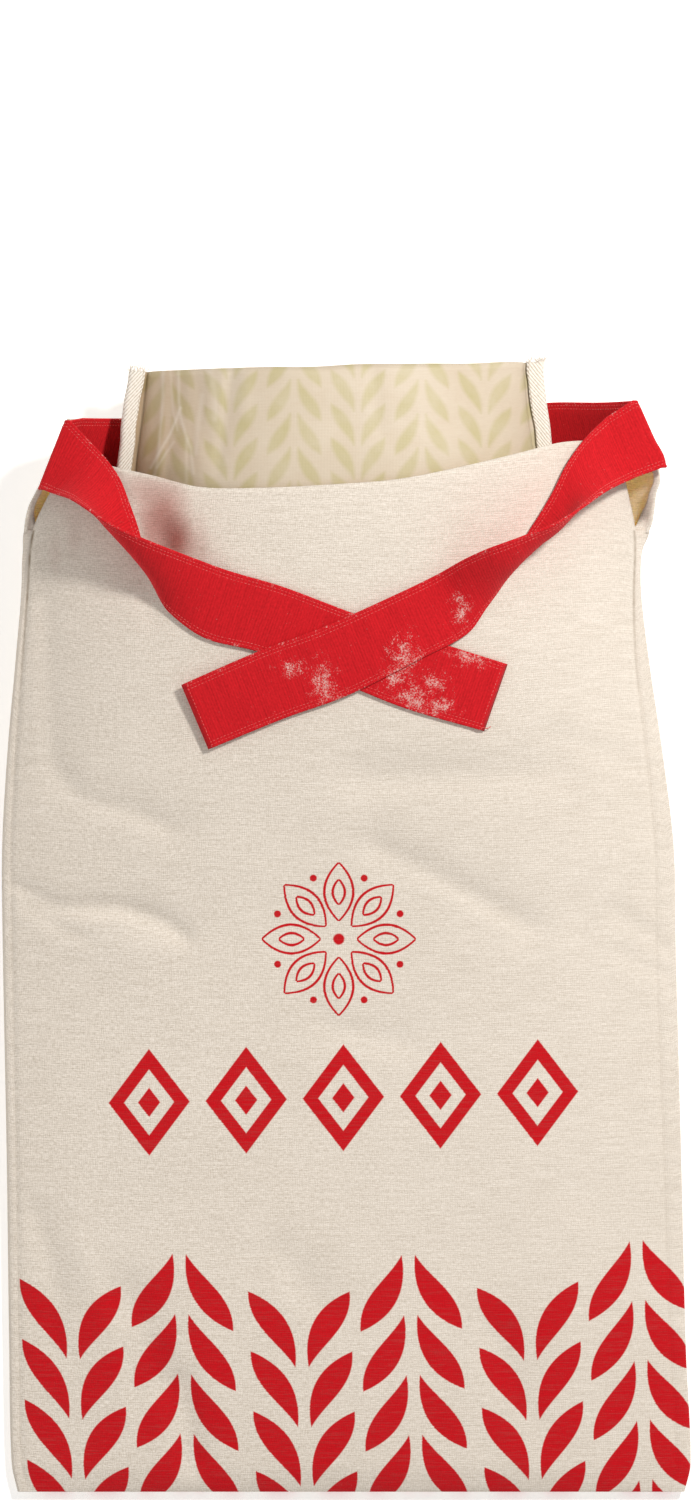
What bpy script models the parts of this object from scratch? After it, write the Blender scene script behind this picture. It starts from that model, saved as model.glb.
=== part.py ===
"""A linen bread bag lying on its back: an outer bag of linen, a waxed liner pulled up in
its mouth with taped side seams, and one long tape tie sewn along the back of the mouth,
whose two ends fold forward, turn over once and cross on the front.

Metres, +Z up. The front of the bag faces +Z and its mouth faces +Y. X runs to the right.
The origin is below the middle of the whole thing, on the surface that it lies on.
"""

import math

import bmesh
import bpy
from mathutils import Matrix, Vector

MM = 0.001

# Cloth and seams, in mm.
LINEN = 1.2  # thickness of the linen with its hems
WAXED = 1.0  # thickness of the waxed liner cloth
GAP = 0.5  # left between pieces that touch
SEAM_WALL = 3.0  # height of the turned edge where front and back are sewn together

# Outer bag, in mm. Each row is a section across the bag at its distance y from the bottom:
# where the side seams lie, their height, the height of the front's crown, how far the
# back bulges out past each seam, and the share of the back that lies flat.
SECTION_COLUMNS = ("y", "left", "right", "seam", "crown", "out_left", "out_right", "flat")
SECTIONS = (
    (0, -136.5, 141.0, 4.5, 9.0, 0.0, 0.0, 0.90),
    (12, -139.0, 143.5, 4.6, 11.0, 0.0, 0.0, 0.90),
    (60, -140.0, 141.5, 5.0, 14.0, 0.0, 0.0, 0.90),
    (140, -141.0, 139.5, 6.0, 18.0, 0.0, 0.0, 0.88),
    (230, -142.5, 137.0, 9.0, 28.0, 0.0, 0.0, 0.80),
    (270, -142.5, 136.0, 13.0, 38.0, 0.0, 0.0, 0.74),
    (310, -140.0, 131.0, 18.0, 51.0, 0.0, 0.6, 0.66),
    (345, -136.5, 125.5, 24.0, 62.0, 0.0, 1.0, 0.60),
    (375, -133.0, 121.5, 29.0, 70.0, 1.0, 2.0, 0.55),
    (402, -129.5, 120.0, 33.5, 76.5, 3.6, 4.8, 0.50),
    (416, -123.0, 117.0, 37.5, 79.0, 1.6, 3.0, 0.50),
    (424, -118.0, 115.0, 39.5, 80.0, 0.8, 1.8, 0.50),
    (440, -112.0, 111.5, 42.0, 81.0, 0.0, 0.6, 0.50),
    (460, -109.0, 109.0, 44.0, 81.0, 0.0, 0.0, 0.50),
)
SLIT = 402.0  # y at which the side seams end and the slits begin
FRONT_CORNER = 434.0  # y of the front's top corners
FRONT_RIM = ((-116, 434), (-96, 428), (-75, 423), (-54, 418), (-30, 417.5), (0, 419),
             (22, 421), (46, 426), (71, 432.5), (88, 437.5), (100, 438.5), (114, 434))
# The back's side edges above the slits: y, left, right and height.
FLAP_COLUMNS = ("y", "left", "right", "height")
FLAPS = (
    (402, -129.5, 120.0, 32.0),
    (411, -130.5, 124.5, 35.5),
    (423, -127.5, 127.0, 40.0),
    (437, -122.0, 126.0, 43.5),
    (452, -115.0, 122.5, 46.0),
)
BACK_RIM = 451.0  # y of the back's rim in the middle
BACK_RIM_SLOPE = 3.5  # the rim's right end is this much higher, its left end lower
BOTTOM_ROUND = 12.0  # the cloth turns under over this much of the bottom
CROWN_POWER = (3.4, 2.25)  # breadth of the front's crown at the bottom and at the mouth
CROWN_EASE = (0.72, 1.0)  # how sharply it falls to the seams, likewise
BACK_POWER = 1.8  # how the back curls up to the seams
BULGE_FROM = 0.8  # share of the back's half width past which it bulges out beside the seam
FOLD_FADE = 6  # how sharply the creases fade out at the side seams

# Creases of the front panel, in mm: ends, depth (a ridge is positive) and half width.
FOLD_COLUMNS = ("x1", "y1", "x2", "y2", "depth", "width")
FOLDS = {
    "left shoulder": (-124, 365, -123, 300, -3.2, 11),
    "under left shoulder": (-124, 296, -68, 281, -2.6, 9),
    "left cross crease": (-139, 254, -86, 247, -3.4, 8),
    "left cross crease end": (-86, 247, -42, 219, -2.8, 9),
    "ridge below it": (-122, 233, -64, 222, 1.8, 10),
    "crown break": (6, 299, 78, 297, -2.4, 13),
    "right slant": (12, 270, 74, 238, -2.4, 11),
    "right side sag": (96, 250, 118, 200, -1.4, 13),
    "centre dimple": (-6, 196, 26, 190, -1.8, 12),
    "left low trough": (-128, 122, -122, 76, -2.0, 10),
    "low trough": (-92, 84, -76, 44, -2.0, 10),
    "hem trough": (-66, 40, -64, 14, -1.6, 9),
    "middle low trough": (-26, 100, -8, 78, -1.6, 10),
    "right low trough": (62, 66, 74, 30, -1.5, 11),
    "right low ridge": (96, 108, 92, 60, 1.2, 12),
}

# Grid of the outer bag.
ACROSS = 26
BOTTOM_ROWS = (0, 2, 6, 12, 22, 38)
BODY_ROWS = 19  # between the bottom rows and the slit
SLIT_ROWS = 4

# Liner, in mm: its side seams, underside and crown at each y.
LINER_COLUMNS = ("y", "left", "right", "under", "over")
LINER = (
    (100, -100.0, 93.0, 2.0, 7.6),
    (160, -101.0, 93.5, 2.0, 12.5),
    (230, -100.5, 93.0, 2.0, 20.0),
    (290, -98.5, 91.0, 2.2, 36.0),
    (340, -96.5, 89.0, 2.6, 55.0),
    (390, -94.5, 87.0, 3.4, 69.5),
    (425, -93.2, 85.0, 3.9, 77.2),
    (450, -91.2, 82.5, 4.0, 78.2),
    (467, -90.0, 81.0, 4.0, 77.6),
)
LINER_TOP = 466.5
LINER_TOP_SLOPE = 2.0
FLANGE_SHARE = 0.102  # the flat seam at each side, as a share of half the liner's width
FLANGE_HALF = 1.35  # half its thickness
FLANGE_LEVEL = 0.46  # its height as a share of the liner's own
LINER_ACROSS = 16
LINER_ROWS = 17
LINER_POWER = (2.5, 0.60)
LINER_UNDER_POWER = (3.4, 0.55)
TAPE = 0.9  # thickness of the binding tape
TAPE_LEG = 7.8  # how far it covers the seam on each face
TAPE_ROWS = 22
LINER_FOLDS = {
    "left pleat": (-66, 470, -70, 424, -1.6, 5),
    "second pleat": (-55, 470, -60, 430, 1.2, 5),
    "right pleat": (52, 470, 58, 420, -1.0, 8),
    "top dip": (-10, 474, 24, 472, -1.0, 10),
}

# Tie, in mm.
TIE = 1.2  # thickness of the doubled tape
TIE_WIDTH = 29.0
TIE_ACROSS = 4
TIE_STEP = 8.0  # distance between its rows
TIE_TURN = 3.0  # the least distance counted between two rows of a table below
FLAT_BELLY = 0.2  # a tape that bows less than this lies flat on the panel
# Rows of the tie's front runs, from the free end to the crease. Each gives the tape's two
# edges a and b by x, y and lift above the front panel, and how far the tape bows out
# between them, which shows where it turns over.
TIE_COLUMNS = ("ax", "ay", "a_lift", "bx", "by", "b_lift", "belly")
LEFT_RUN = (
    (66.5, 346.0, 1.6, 57.0, 318.5, 1.6, 0.0),
    (34.5, 356.0, 1.6, 24.0, 328.0, 1.6, 0.0),
    (3.5, 366.5, 1.6, -6.0, 340.0, 1.6, 0.0),
    (-26.0, 377.5, 1.6, -36.0, 351.0, 1.6, 0.0),
    (-48.0, 384.0, 3.0, -57.5, 356.5, 1.6, -0.5),
    (-63.5, 389.5, 12.0, -71.5, 366.5, 1.6, -1.5),
    (-73.0, 393.0, 19.5, -76.5, 374.0, 1.6, -2.5),
    (-79.5, 395.5, 24.0, -80.0, 383.5, 1.8, -4.5),
    (-85.5, 398.0, 26.5, -82.5, 392.0, 2.0, -5.5),
    (-91.5, 400.5, 29.0, -85.0, 402.0, 2.2, -6.5),
    (-98.0, 404.0, 31.0, -88.5, 412.0, 2.5, -6.5),
    (-105.5, 409.0, 28.0, -92.5, 422.0, 3.0, -4.5),
    (-113.0, 413.5, 21.0, -98.0, 430.0, 3.5, -2.0),
    (-120.0, 416.0, 13.0, -104.5, 437.0, 5.5, -0.5),
)
RIGHT_RUN = (
    (-67.5, 337.5, 1.6, -56.5, 311.0, 1.6, 0.0),
    (-35.0, 351.5, 3.0, -24.5, 324.0, 2.6, 0.0),
    (-10.5, 360.5, 3.4, 0.5, 333.0, 3.2, 0.0),
    (21.0, 374.5, 3.4, 32.5, 349.0, 3.2, 0.0),
    (37.5, 382.5, 4.0, 50.0, 358.5, 2.2, 0.3),
    (47.5, 388.0, 12.0, 57.5, 369.0, 1.8, 1.5),
    (56.5, 392.0, 20.0, 63.0, 377.0, 1.8, 3.0),
    (63.5, 394.5, 24.0, 67.0, 383.5, 2.0, 4.5),
    (70.5, 397.0, 26.0, 70.5, 391.5, 2.0, 5.5),
    (77.0, 399.5, 28.0, 74.5, 399.5, 2.0, 6.0),
    (83.5, 402.0, 30.0, 79.5, 407.5, 2.2, 6.5),
    (90.0, 405.5, 31.0, 85.0, 417.0, 2.5, 6.0),
    (98.5, 411.0, 28.0, 91.5, 427.0, 3.0, 4.0),
    (107.5, 417.0, 21.0, 99.5, 437.5, 4.0, 2.0),
    (118.5, 422.5, 12.5, 109.0, 446.5, 6.0, 0.5),
)
# The outermost line of each crease, where the tape turns forward: edges a and b.
CREASES = {
    -1: ((-126.5, 418.0, 47.5), (-115.0, 446.5, 51.5)),
    1: ((131.0, 427.0, 49.5), (121.5, 454.5, 53.0)),
}
CREASE_RADIUS = 2.0
CREASE_TURNS = (60, 0, -60)  # degrees about the crease, from the front run to the back run
BACK_RUN_ENDS = 0.965  # share of the back's half width that the tape lies on
BACK_RUN_ROWS = 32
CURL_CLEARANCE = 0.5  # added to the gap where the back curls up
TANGENT_STEP = 0.01  # share of the half width over which the back's slope is taken


def smooth(points, at):
    """The value at a place on a smooth curve through (place, value) points."""
    if at <= points[0][0]:
        return points[0][1]
    if at >= points[-1][0]:
        return points[-1][1]
    last = len(points) - 1
    i = max(k for k in range(last) if points[k][0] <= at)
    (x0, y0), (x1, y1) = points[i], points[i + 1]

    def slope(k):
        before, after = points[max(k - 1, 0)], points[min(k + 1, last)]
        return (after[1] - before[1]) / (after[0] - before[0])

    span = x1 - x0
    s = (at - x0) / span
    rise = y0 * (1 + 2 * s) * (1 - s) ** 2 + y1 * s * s * (3 - 2 * s)
    return rise + span * (slope(i) * s * (1 - s) ** 2 - slope(i + 1) * s * s * (1 - s))


def column(columns, rows, name):
    k = columns.index(name)
    return [(row[0], row[k]) for row in rows]


SECTION_CURVES = {name: column(SECTION_COLUMNS, SECTIONS, name) for name in SECTION_COLUMNS[1:]}
FLAP_CURVES = {name: column(FLAP_COLUMNS, FLAPS, name) for name in FLAP_COLUMNS[1:]}
LINER_CURVES = {name: column(LINER_COLUMNS, LINER, name) for name in LINER_COLUMNS[1:]}


def section(y):
    return {name: smooth(curve, y) for name, curve in SECTION_CURVES.items()}


def fold_depth(folds, x, y):
    """The sum of the soft troughs and ridges at a point."""
    total = 0.0
    for values in folds.values():
        fold = dict(zip(FOLD_COLUMNS, values))
        dx, dy = fold["x2"] - fold["x1"], fold["y2"] - fold["y1"]
        along = ((x - fold["x1"]) * dx + (y - fold["y1"]) * dy) / (dx * dx + dy * dy)
        along = min(max(along, 0.0), 1.0)
        off = math.hypot(x - fold["x1"] - along * dx, y - fold["y1"] - along * dy)
        total += fold["depth"] * math.exp(-((off / fold["width"]) ** 2))
    return total


def turn_under(y):
    """0 at the bottom fold, rising to 1 where the cloth has turned."""
    left = 1 - min(y / BOTTOM_ROUND, 1.0)
    return math.sqrt(1 - left * left)


def front_height(x, y):
    """The height of the front panel's outer face above the surface."""
    cut = section(y)
    middle, half = (cut["left"] + cut["right"]) / 2, (cut["right"] - cut["left"]) / 2
    u = min(max((x - middle) / half, -1.0), 1.0)
    toward_mouth = min(y / FRONT_CORNER, 1.0)
    power = CROWN_POWER[0] + (CROWN_POWER[1] - CROWN_POWER[0]) * toward_mouth
    ease = CROWN_EASE[0] + (CROWN_EASE[1] - CROWN_EASE[0]) * toward_mouth
    edge = cut["seam"] + SEAM_WALL / 2
    swell = max(1 - abs(u) ** power, 0.0) ** ease
    z = edge + (cut["crown"] - edge) * swell + fold_depth(FOLDS, x, y) * (1 - u**FOLD_FADE)
    low = SECTIONS[0][3] + SEAM_WALL / 2
    return low + (z - low) * turn_under(y)


def front_point(u, t):
    """A point of the front panel: u across from -1 to 1, t up from the bottom to the rim."""
    rough = section(FRONT_CORNER)
    rim_x = (rough["left"] + rough["right"]) / 2 + u * (rough["right"] - rough["left"]) / 2
    rim = FRONT_CORNER if abs(u) == 1 else smooth(FRONT_RIM, rim_x)
    y = t * rim
    cut = section(y)
    x = (cut["left"] + cut["right"]) / 2 + u * (cut["right"] - cut["left"]) / 2
    return Vector((x, y, front_height(x, y)))


def back_y(u, t):
    y = t * FRONT_CORNER
    if y <= SLIT:
        return y
    share = (y - SLIT) / (FRONT_CORNER - SLIT)
    return SLIT + share * (BACK_RIM + BACK_RIM_SLOPE * u - SLIT)


def back_at(u, y):
    """A point of the back panel's outer face, u across from -1 to 1."""
    cut = section(y)
    left, right, height = cut["left"], cut["right"], cut["seam"] - SEAM_WALL / 2
    if y > SLIT:
        left, right, height = (smooth(FLAP_CURVES[k], y) for k in FLAP_COLUMNS[1:])
    x = (left + right) / 2 + u * (right - left) / 2
    bulge = min(max((abs(u) - BULGE_FROM) / (1 - BULGE_FROM), 0.0), 1.0)
    out = cut["out_left"] if u < 0 else cut["out_right"]
    x += math.copysign(out * math.sin(math.pi * bulge), u)
    curl = max((abs(u) - cut["flat"]) / (1 - cut["flat"]), 0.0)
    z = height * curl**BACK_POWER
    low = SECTIONS[0][3] - SEAM_WALL / 2
    return Vector((x, y, low - (low - z) * turn_under(y)))


def row_places():
    """The share of the way to the front's corners at which each row of the bag lies."""
    rows = [y / FRONT_CORNER for y in BOTTOM_ROWS]
    start = BOTTOM_ROWS[-1]
    rows += [(start + (SLIT - start) * k / BODY_ROWS) / FRONT_CORNER for k in range(1, BODY_ROWS + 1)]
    rows += [(SLIT + (FRONT_CORNER - SLIT) * k / SLIT_ROWS) / FRONT_CORNER
             for k in range(1, SLIT_ROWS + 1)]
    return rows


def mesh_object(name, rows_of_points, faces, material, collection):
    mesh = bpy.data.meshes.new(name)
    mesh.from_pydata([tuple(p * MM) for p in rows_of_points], [], faces)
    mesh.materials.append(material)
    mesh.shade_smooth()
    obj = bpy.data.objects.new(name, mesh)
    collection.objects.link(obj)
    return obj


def thicken(obj, thickness, offset):
    solid = obj.modifiers.new("Cloth thickness", "SOLIDIFY")
    solid.thickness = thickness * MM
    solid.offset = offset
    solid.use_even_offset = True


def pouch(name, front, back, rows, across, seam_rows, thickness, material, collection):
    """A bag of one cloth, folded at the bottom and sewn up both sides as far as seam_rows."""
    points = []
    for j in range(rows):
        points += [front(i, j) for i in range(across + 1)]
        points += [back(i, j) for i in range(across + 1)]
    wide = across + 1

    def f(i, j):
        return j * 2 * wide + i

    def b(i, j):
        return j * 2 * wide + wide + i

    faces = [(b(i, 0), b(i + 1, 0), f(i + 1, 0), f(i, 0)) for i in range(across)]
    for j in range(rows - 1):
        for i in range(across):
            faces.append((f(i, j), f(i + 1, j), f(i + 1, j + 1), f(i, j + 1)))
            faces.append((b(i, j + 1), b(i + 1, j + 1), b(i + 1, j), b(i, j)))
        if j < seam_rows:
            faces.append((b(0, j + 1), b(0, j), f(0, j), f(0, j + 1)))
            faces.append((f(across, j + 1), f(across, j), b(across, j), b(across, j + 1)))
    obj = mesh_object(name, points, faces, material, collection)
    thicken(obj, thickness, -1)
    return obj


def linen_bag(material, collection):
    places = row_places()
    seam_rows = len(places) - 1 - SLIT_ROWS

    def across(i):
        return 2 * i / ACROSS - 1

    def front(i, j):
        return front_point(across(i), places[j])

    def back(i, j):
        return back_at(across(i), back_y(across(i), places[j]))

    return pouch("linen_bag", front, back, len(places), ACROSS, seam_rows, LINEN, material, collection)


def liner_section(y):
    return {name: smooth(curve, y) for name, curve in LINER_CURVES.items()}


def flange_height(cut):
    return cut["under"] + (cut["over"] - cut["under"]) * FLANGE_LEVEL


def liner_y(u, t):
    top = LINER_TOP + LINER_TOP_SLOPE * u
    return LINER[0][0] + t * (top - LINER[0][0])


def liner_point(u, t, side):
    """A point of the liner's outer face. side is 1 on the front and -1 on the back."""
    y = liner_y(u, t)
    cut = liner_section(y)
    middle, half = (cut["left"] + cut["right"]) / 2, (cut["right"] - cut["left"]) / 2
    x = middle + u * half
    level = flange_height(cut)
    reach = min(abs(u) / (1 - FLANGE_SHARE), 1.0)
    power, ease = LINER_POWER if side > 0 else LINER_UNDER_POWER
    swell = (1 - reach**power) ** ease
    end = cut["over"] if side > 0 else cut["under"]
    edge = level + side * FLANGE_HALF
    z = edge + (end - edge) * swell
    if side > 0:
        z += fold_depth(LINER_FOLDS, x, y) * swell
    return Vector((x, y, z))


def liner_columns():
    """u of each column: the flange at both ends, and the swell between."""
    inner = 1 - FLANGE_SHARE
    turns = LINER_ACROSS - 2
    return [-1.0] + [-inner * math.cos(math.pi * k / turns) for k in range(turns + 1)] + [1.0]


def waxed_liner(material, collection):
    columns = liner_columns()
    rows = LINER_ROWS + 1

    def front(i, j):
        return liner_point(columns[i], j / LINER_ROWS, 1)

    def back(i, j):
        return liner_point(columns[i], j / LINER_ROWS, -1)

    return pouch("waxed_liner", front, back, rows, LINER_ACROSS, rows, WAXED, material, collection)


def binding(name, side, material, collection):
    """The tape folded over one side seam of the liner, a channel along the flange."""
    inner, outer = FLANGE_HALF + GAP, FLANGE_HALF + GAP + TAPE
    # The channel's outline, from the seam's edge outward and up.
    outline = ((-TAPE_LEG, inner), (GAP, inner), (GAP, -inner), (-TAPE_LEG, -inner),
               (-TAPE_LEG, -outer), (GAP + TAPE, -outer), (GAP + TAPE, outer), (-TAPE_LEG, outer))
    points = []
    for j in range(TAPE_ROWS + 1):
        y = liner_y(side, j / TAPE_ROWS)
        cut = liner_section(y)
        edge = cut["right"] if side > 0 else cut["left"]
        level = flange_height(cut)
        points += [Vector((edge + side * dx, y, level + dz)) for dx, dz in outline]
    n = len(outline)
    faces = []
    for j in range(TAPE_ROWS):
        for k in range(n):
            a, b = j * n + k, j * n + (k + 1) % n
            faces.append((a, b, b + n, a + n))
    faces.append(tuple(range(n)))
    faces.append(tuple(TAPE_ROWS * n + k for k in reversed(range(n))))
    obj = mesh_object(name, points, faces, material, collection)
    work = bmesh.new()
    work.from_mesh(obj.data)
    bmesh.ops.recalc_face_normals(work, faces=work.faces)
    work.to_mesh(obj.data)
    work.free()
    obj.data.shade_flat()
    return obj


def bowed(a, b, belly, heading, share):
    """A point across the tape, on a shallow arc from edge a to edge b."""
    normal = (b - a).cross(heading)
    bow = belly * 4 * share * (1 - share)
    return a.lerp(b, share) + normal.normalized() * bow


def front_run(rows):
    """Rows of the tie over the front panel, each a list of points from edge a to edge b."""
    middles = [Vector(((r[0] + r[3]) / 2, (r[1] + r[4]) / 2)) for r in rows]
    along = [0.0]
    for before, after in zip(middles, middles[1:]):
        along.append(along[-1] + max((after - before).length, TIE_TURN))
    curves = {name: list(zip(along, [row[k] for row in rows])) for k, name in enumerate(TIE_COLUMNS)}
    steps = round(along[-1] / TIE_STEP)
    found = []
    for k in range(steps + 1):
        v = {name: smooth(curve, along[-1] * k / steps) for name, curve in curves.items()}
        edges = []
        for edge in "ab":
            x, y = v[edge + "x"], v[edge + "y"]
            edges.append(Vector((x, y, front_height(x, y) + v[edge + "_lift"])))
        found.append((*edges, v["belly"]))
    run = []
    for k, (a, b, belly) in enumerate(found):
        before, after = found[max(k - 1, 0)], found[min(k + 1, steps)]
        heading = (after[0] + after[1] - before[0] - before[1]).normalized()
        strip = []
        for i in range(TIE_ACROSS + 1):
            share = i / TIE_ACROSS
            p = bowed(a, b, belly, heading, share)
            if abs(belly) < FLAT_BELLY:  # it follows the panel between its edges too
                lift = (a.z - front_height(a.x, a.y)) * (1 - share) + (b.z - front_height(b.x, b.y)) * share
                p.z = front_height(p.x, p.y) + lift
            strip.append(p)
        run.append(strip)
    return run


def crease(side):
    """Rows where the tape turns round its crease, from the front run to the back run."""
    a, b = (Vector(end) for end in CREASES[side])
    rows = []
    for degrees in CREASE_TURNS:
        turn = math.radians(degrees)
        shift = Vector((-side * (1 - math.cos(turn)), 0, math.sin(turn))) * CREASE_RADIUS
        rows.append([a.lerp(b, i / TIE_ACROSS) + shift for i in range(TIE_ACROSS + 1)])
    return rows


def back_run():
    """Rows of the tie along the back's rim, on its inner face, from left to right."""
    rows = []
    for k in range(BACK_RUN_ROWS + 1):
        u = BACK_RUN_ENDS * (2 * k / BACK_RUN_ROWS - 1)
        top = BACK_RIM + BACK_RIM_SLOPE * u - GAP
        strip = []
        for i in range(TIE_ACROSS + 1):
            y = top - TIE_WIDTH * (1 - i / TIE_ACROSS)
            tangent = back_at(u + TANGENT_STEP, y) - back_at(u - TANGENT_STEP, y)
            inward = Vector((-tangent.z, 0, tangent.x)).normalized()
            clear = GAP + CURL_CLEARANCE * min(max(2 * abs(u) - 1, 0), 1)
            strip.append(back_at(u, y) + inward * (LINEN + clear + TIE / 2))
        rows.append(strip)
    return rows


def tie(material, collection):
    left, right = front_run(LEFT_RUN), front_run(RIGHT_RUN)
    strips = left + crease(-1) + back_run() + crease(1)[::-1] + right[::-1]
    points = [p for strip in strips for p in strip]
    wide = TIE_ACROSS + 1
    faces = []
    for j in range(len(strips) - 1):
        for i in range(TIE_ACROSS):
            a = j * wide + i
            faces.append((a, a + wide, a + wide + 1, a + 1))
    obj = mesh_object("tie", points, faces, material, collection)
    thicken(obj, TIE, 0)
    return obj


def material(name, colour, roughness):
    mat = bpy.data.materials.new(name)
    mat.use_nodes = True
    shader = mat.node_tree.nodes["Principled BSDF"]
    shader.inputs["Base Color"].default_value = (*colour, 1)
    shader.inputs["Roughness"].default_value = roughness
    mat.diffuse_color = (*colour, 1)
    return mat


def clear_scene():
    for obj in list(bpy.data.objects):
        bpy.data.objects.remove(obj, do_unlink=True)


def centre_on_surface(objects):
    """Moves the whole thing so that the origin is below the middle of its box."""
    graph = bpy.context.evaluated_depsgraph_get()
    corners = [Vector(c) for obj in objects for c in obj.evaluated_get(graph).bound_box]
    shift = Vector([-(min(c[k] for c in corners) + max(c[k] for c in corners)) / 2 for k in (0, 1)] + [0])
    for obj in objects:
        obj.data.transform(Matrix.Translation(shift))


def build():
    clear_scene()
    bag = bpy.data.collections.new("linen_bread_bag")
    bpy.context.scene.collection.children.link(bag)
    linen = material("natural linen", (0.78, 0.70, 0.59), 0.9)
    waxed = material("waxed cotton", (0.81, 0.72, 0.54), 0.55)
    tape = material("white cotton tape", (0.77, 0.70, 0.60), 0.9)
    red = material("red cotton tape", (0.60, 0.012, 0.022), 0.85)
    linen_bag(linen, bag)
    waxed_liner(waxed, bag)
    binding("binding_left", -1, tape, bag)
    binding("binding_right", 1, tape, bag)
    tie(red, bag)
    centre_on_surface(bag.objects)


build()
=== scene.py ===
# Dresses the linen bag: its cloth, the waxed liner with two seam tapes, and the long red tie.
# Tables are in millimetres with y from the bottom fold, the studio's in metres.
# toFrame() puts the pieces in place.
import math
import bmesh
import bpy
import numpy as np
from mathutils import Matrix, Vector


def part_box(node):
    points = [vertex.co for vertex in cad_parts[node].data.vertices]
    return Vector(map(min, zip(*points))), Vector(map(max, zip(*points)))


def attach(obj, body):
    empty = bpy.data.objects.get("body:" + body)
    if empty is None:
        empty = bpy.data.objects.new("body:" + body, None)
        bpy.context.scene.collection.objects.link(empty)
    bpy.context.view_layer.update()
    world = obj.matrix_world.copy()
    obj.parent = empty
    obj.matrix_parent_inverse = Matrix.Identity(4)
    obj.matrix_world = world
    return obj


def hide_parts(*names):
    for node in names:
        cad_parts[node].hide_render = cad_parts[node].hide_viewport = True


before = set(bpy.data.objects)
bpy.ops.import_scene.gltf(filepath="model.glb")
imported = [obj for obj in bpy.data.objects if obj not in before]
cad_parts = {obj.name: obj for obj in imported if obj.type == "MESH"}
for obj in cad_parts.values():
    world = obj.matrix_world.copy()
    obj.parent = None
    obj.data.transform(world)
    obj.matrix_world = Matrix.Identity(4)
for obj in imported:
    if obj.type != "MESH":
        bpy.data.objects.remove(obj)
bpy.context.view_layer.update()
mm = 0.001
print("frame loaded:", sorted(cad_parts))


def throughPoints(places, values, at):
    # a smooth curve through the values, flat past both ends
    places = np.asarray(places, float)
    values = np.asarray(values, float)
    last = len(places) - 1
    before = np.maximum(np.arange(last + 1) - 1, 0)
    after = np.minimum(np.arange(last + 1) + 1, last)
    slope = (values[after] - values[before]) / (places[after] - places[before])
    at = np.clip(at, places[0], places[-1])
    i = np.clip(np.searchsorted(places, at, "right") - 1, 0, last - 1)
    span = places[i + 1] - places[i]
    s = (at - places[i]) / span
    rise = values[i] * (1 + 2 * s) * (1 - s) ** 2 + values[i + 1] * s * s * (3 - 2 * s)
    return rise + span * (slope[i] * s * (1 - s) ** 2 - slope[i + 1] * s * s * (1 - s))


def byColumn(names, rows):
    return {name: np.array([row[k] for row in rows], float) for k, name in enumerate(names.split())}


def rowOf(table, y):
    return {name: throughPoints(table["y"], table[name], y) for name in table if name != "y"}


def middleAndHalf(cut):
    return (cut["left"] + cut["right"]) / 2, (cut["right"] - cut["left"]) / 2


def edgeOf(cut, side):
    return cut["right"] if side > 0 else cut["left"]


def easeIn(share):
    return share * share * (3 - 2 * share)


def softNoise(x, y, grainSize, seed):
    # gentle unevenness between -1 and 1, the same on every run
    cells, shift = 64, 1000.5   # the shift keeps all places positive
    lattice = np.random.default_rng(seed).uniform(-1, 1, (cells, cells))
    gx, gy = np.asarray(x) / grainSize + shift, np.asarray(y) / grainSize + shift
    ix, iy = np.floor(gx).astype(int), np.floor(gy).astype(int)
    fx, fy = easeIn(gx - ix), easeIn(gy - iy)
    right, up = (ix + 1) % cells, (iy + 1) % cells
    ix, iy = ix % cells, iy % cells
    lower = lattice[iy, ix] * (1 - fx) + lattice[iy, right] * fx
    return lower * (1 - fy) + (lattice[up, ix] * (1 - fx) + lattice[up, right] * fx) * fy


def unevenness(layers, x, y):
    # each layer has its grain, depth and seed
    return sum(depth * softNoise(x, y, size, seed) for size, depth, seed in layers)


def foldsAt(folds, x, y):
    # soft troughs and ridges, each along a line through two or more corners
    total = 0.0
    for depth, width, *corners in folds.values():
        nearest = np.inf
        for (x1, y1), (x2, y2) in zip(corners, corners[1:]):
            dx, dy = x2 - x1, y2 - y1
            along = np.clip(((x - x1) * dx + (y - y1) * dy) / (dx * dx + dy * dy), 0, 1)
            nearest = np.minimum(nearest, np.hypot(x - x1 - along * dx, y - y1 - along * dy))
        total = total + depth * np.exp(-((nearest / width) ** 2))
    return total


def unit(vectors):
    return vectors / np.maximum(np.linalg.norm(vectors, axis=-1, keepdims=True), 1e-9)


def travelled(points):
    # distance along a line of points from its first
    return np.concatenate([[0], np.cumsum(np.linalg.norm(np.diff(points, axis=0), axis=1))])


def pairs(first, second):
    # every pairing of a row of values with a column of them, as one list
    return np.stack(np.broadcast_arrays(first, second), axis=-1).reshape(-1, 2)


def gridFaces(rows, wide, closed=False, flip=False):
    # quads over a grid of points; closed joins the last column to the first
    faces = []
    for j in range(rows - 1):
        for k in range(wide if closed else wide - 1):
            a, b = j * wide + k, j * wide + (k + 1) % wide
            quad = (a, b, b + wide, a + wide)
            faces.append(quad[::-1] if flip else quad)
    return faces


def makeMesh(name, points, faces, material, maps=None, edges=()):
    mesh = bpy.data.meshes.new(name)
    mesh.from_pydata((np.asarray(points).reshape(-1, 3) * mm).tolist(), edges, faces)
    corners = np.empty(len(mesh.loops), np.int32)
    mesh.loops.foreach_get("vertex_index", corners)
    for mapName, values in (maps or {}).items():
        layer = mesh.uv_layers.new(name=mapName)
        layer.data.foreach_set("uv", (np.asarray(values)[corners] * mm).astype(np.float32).ravel())
    mesh.materials.append(material)
    mesh.shade_smooth()
    obj = bpy.data.objects.new(name, mesh)
    bpy.context.scene.collection.objects.link(obj)
    return obj


def editMesh(obj, change):
    work = bmesh.new()
    work.from_mesh(obj.data)
    change(work)
    work.to_mesh(obj.data)
    work.free()


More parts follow.
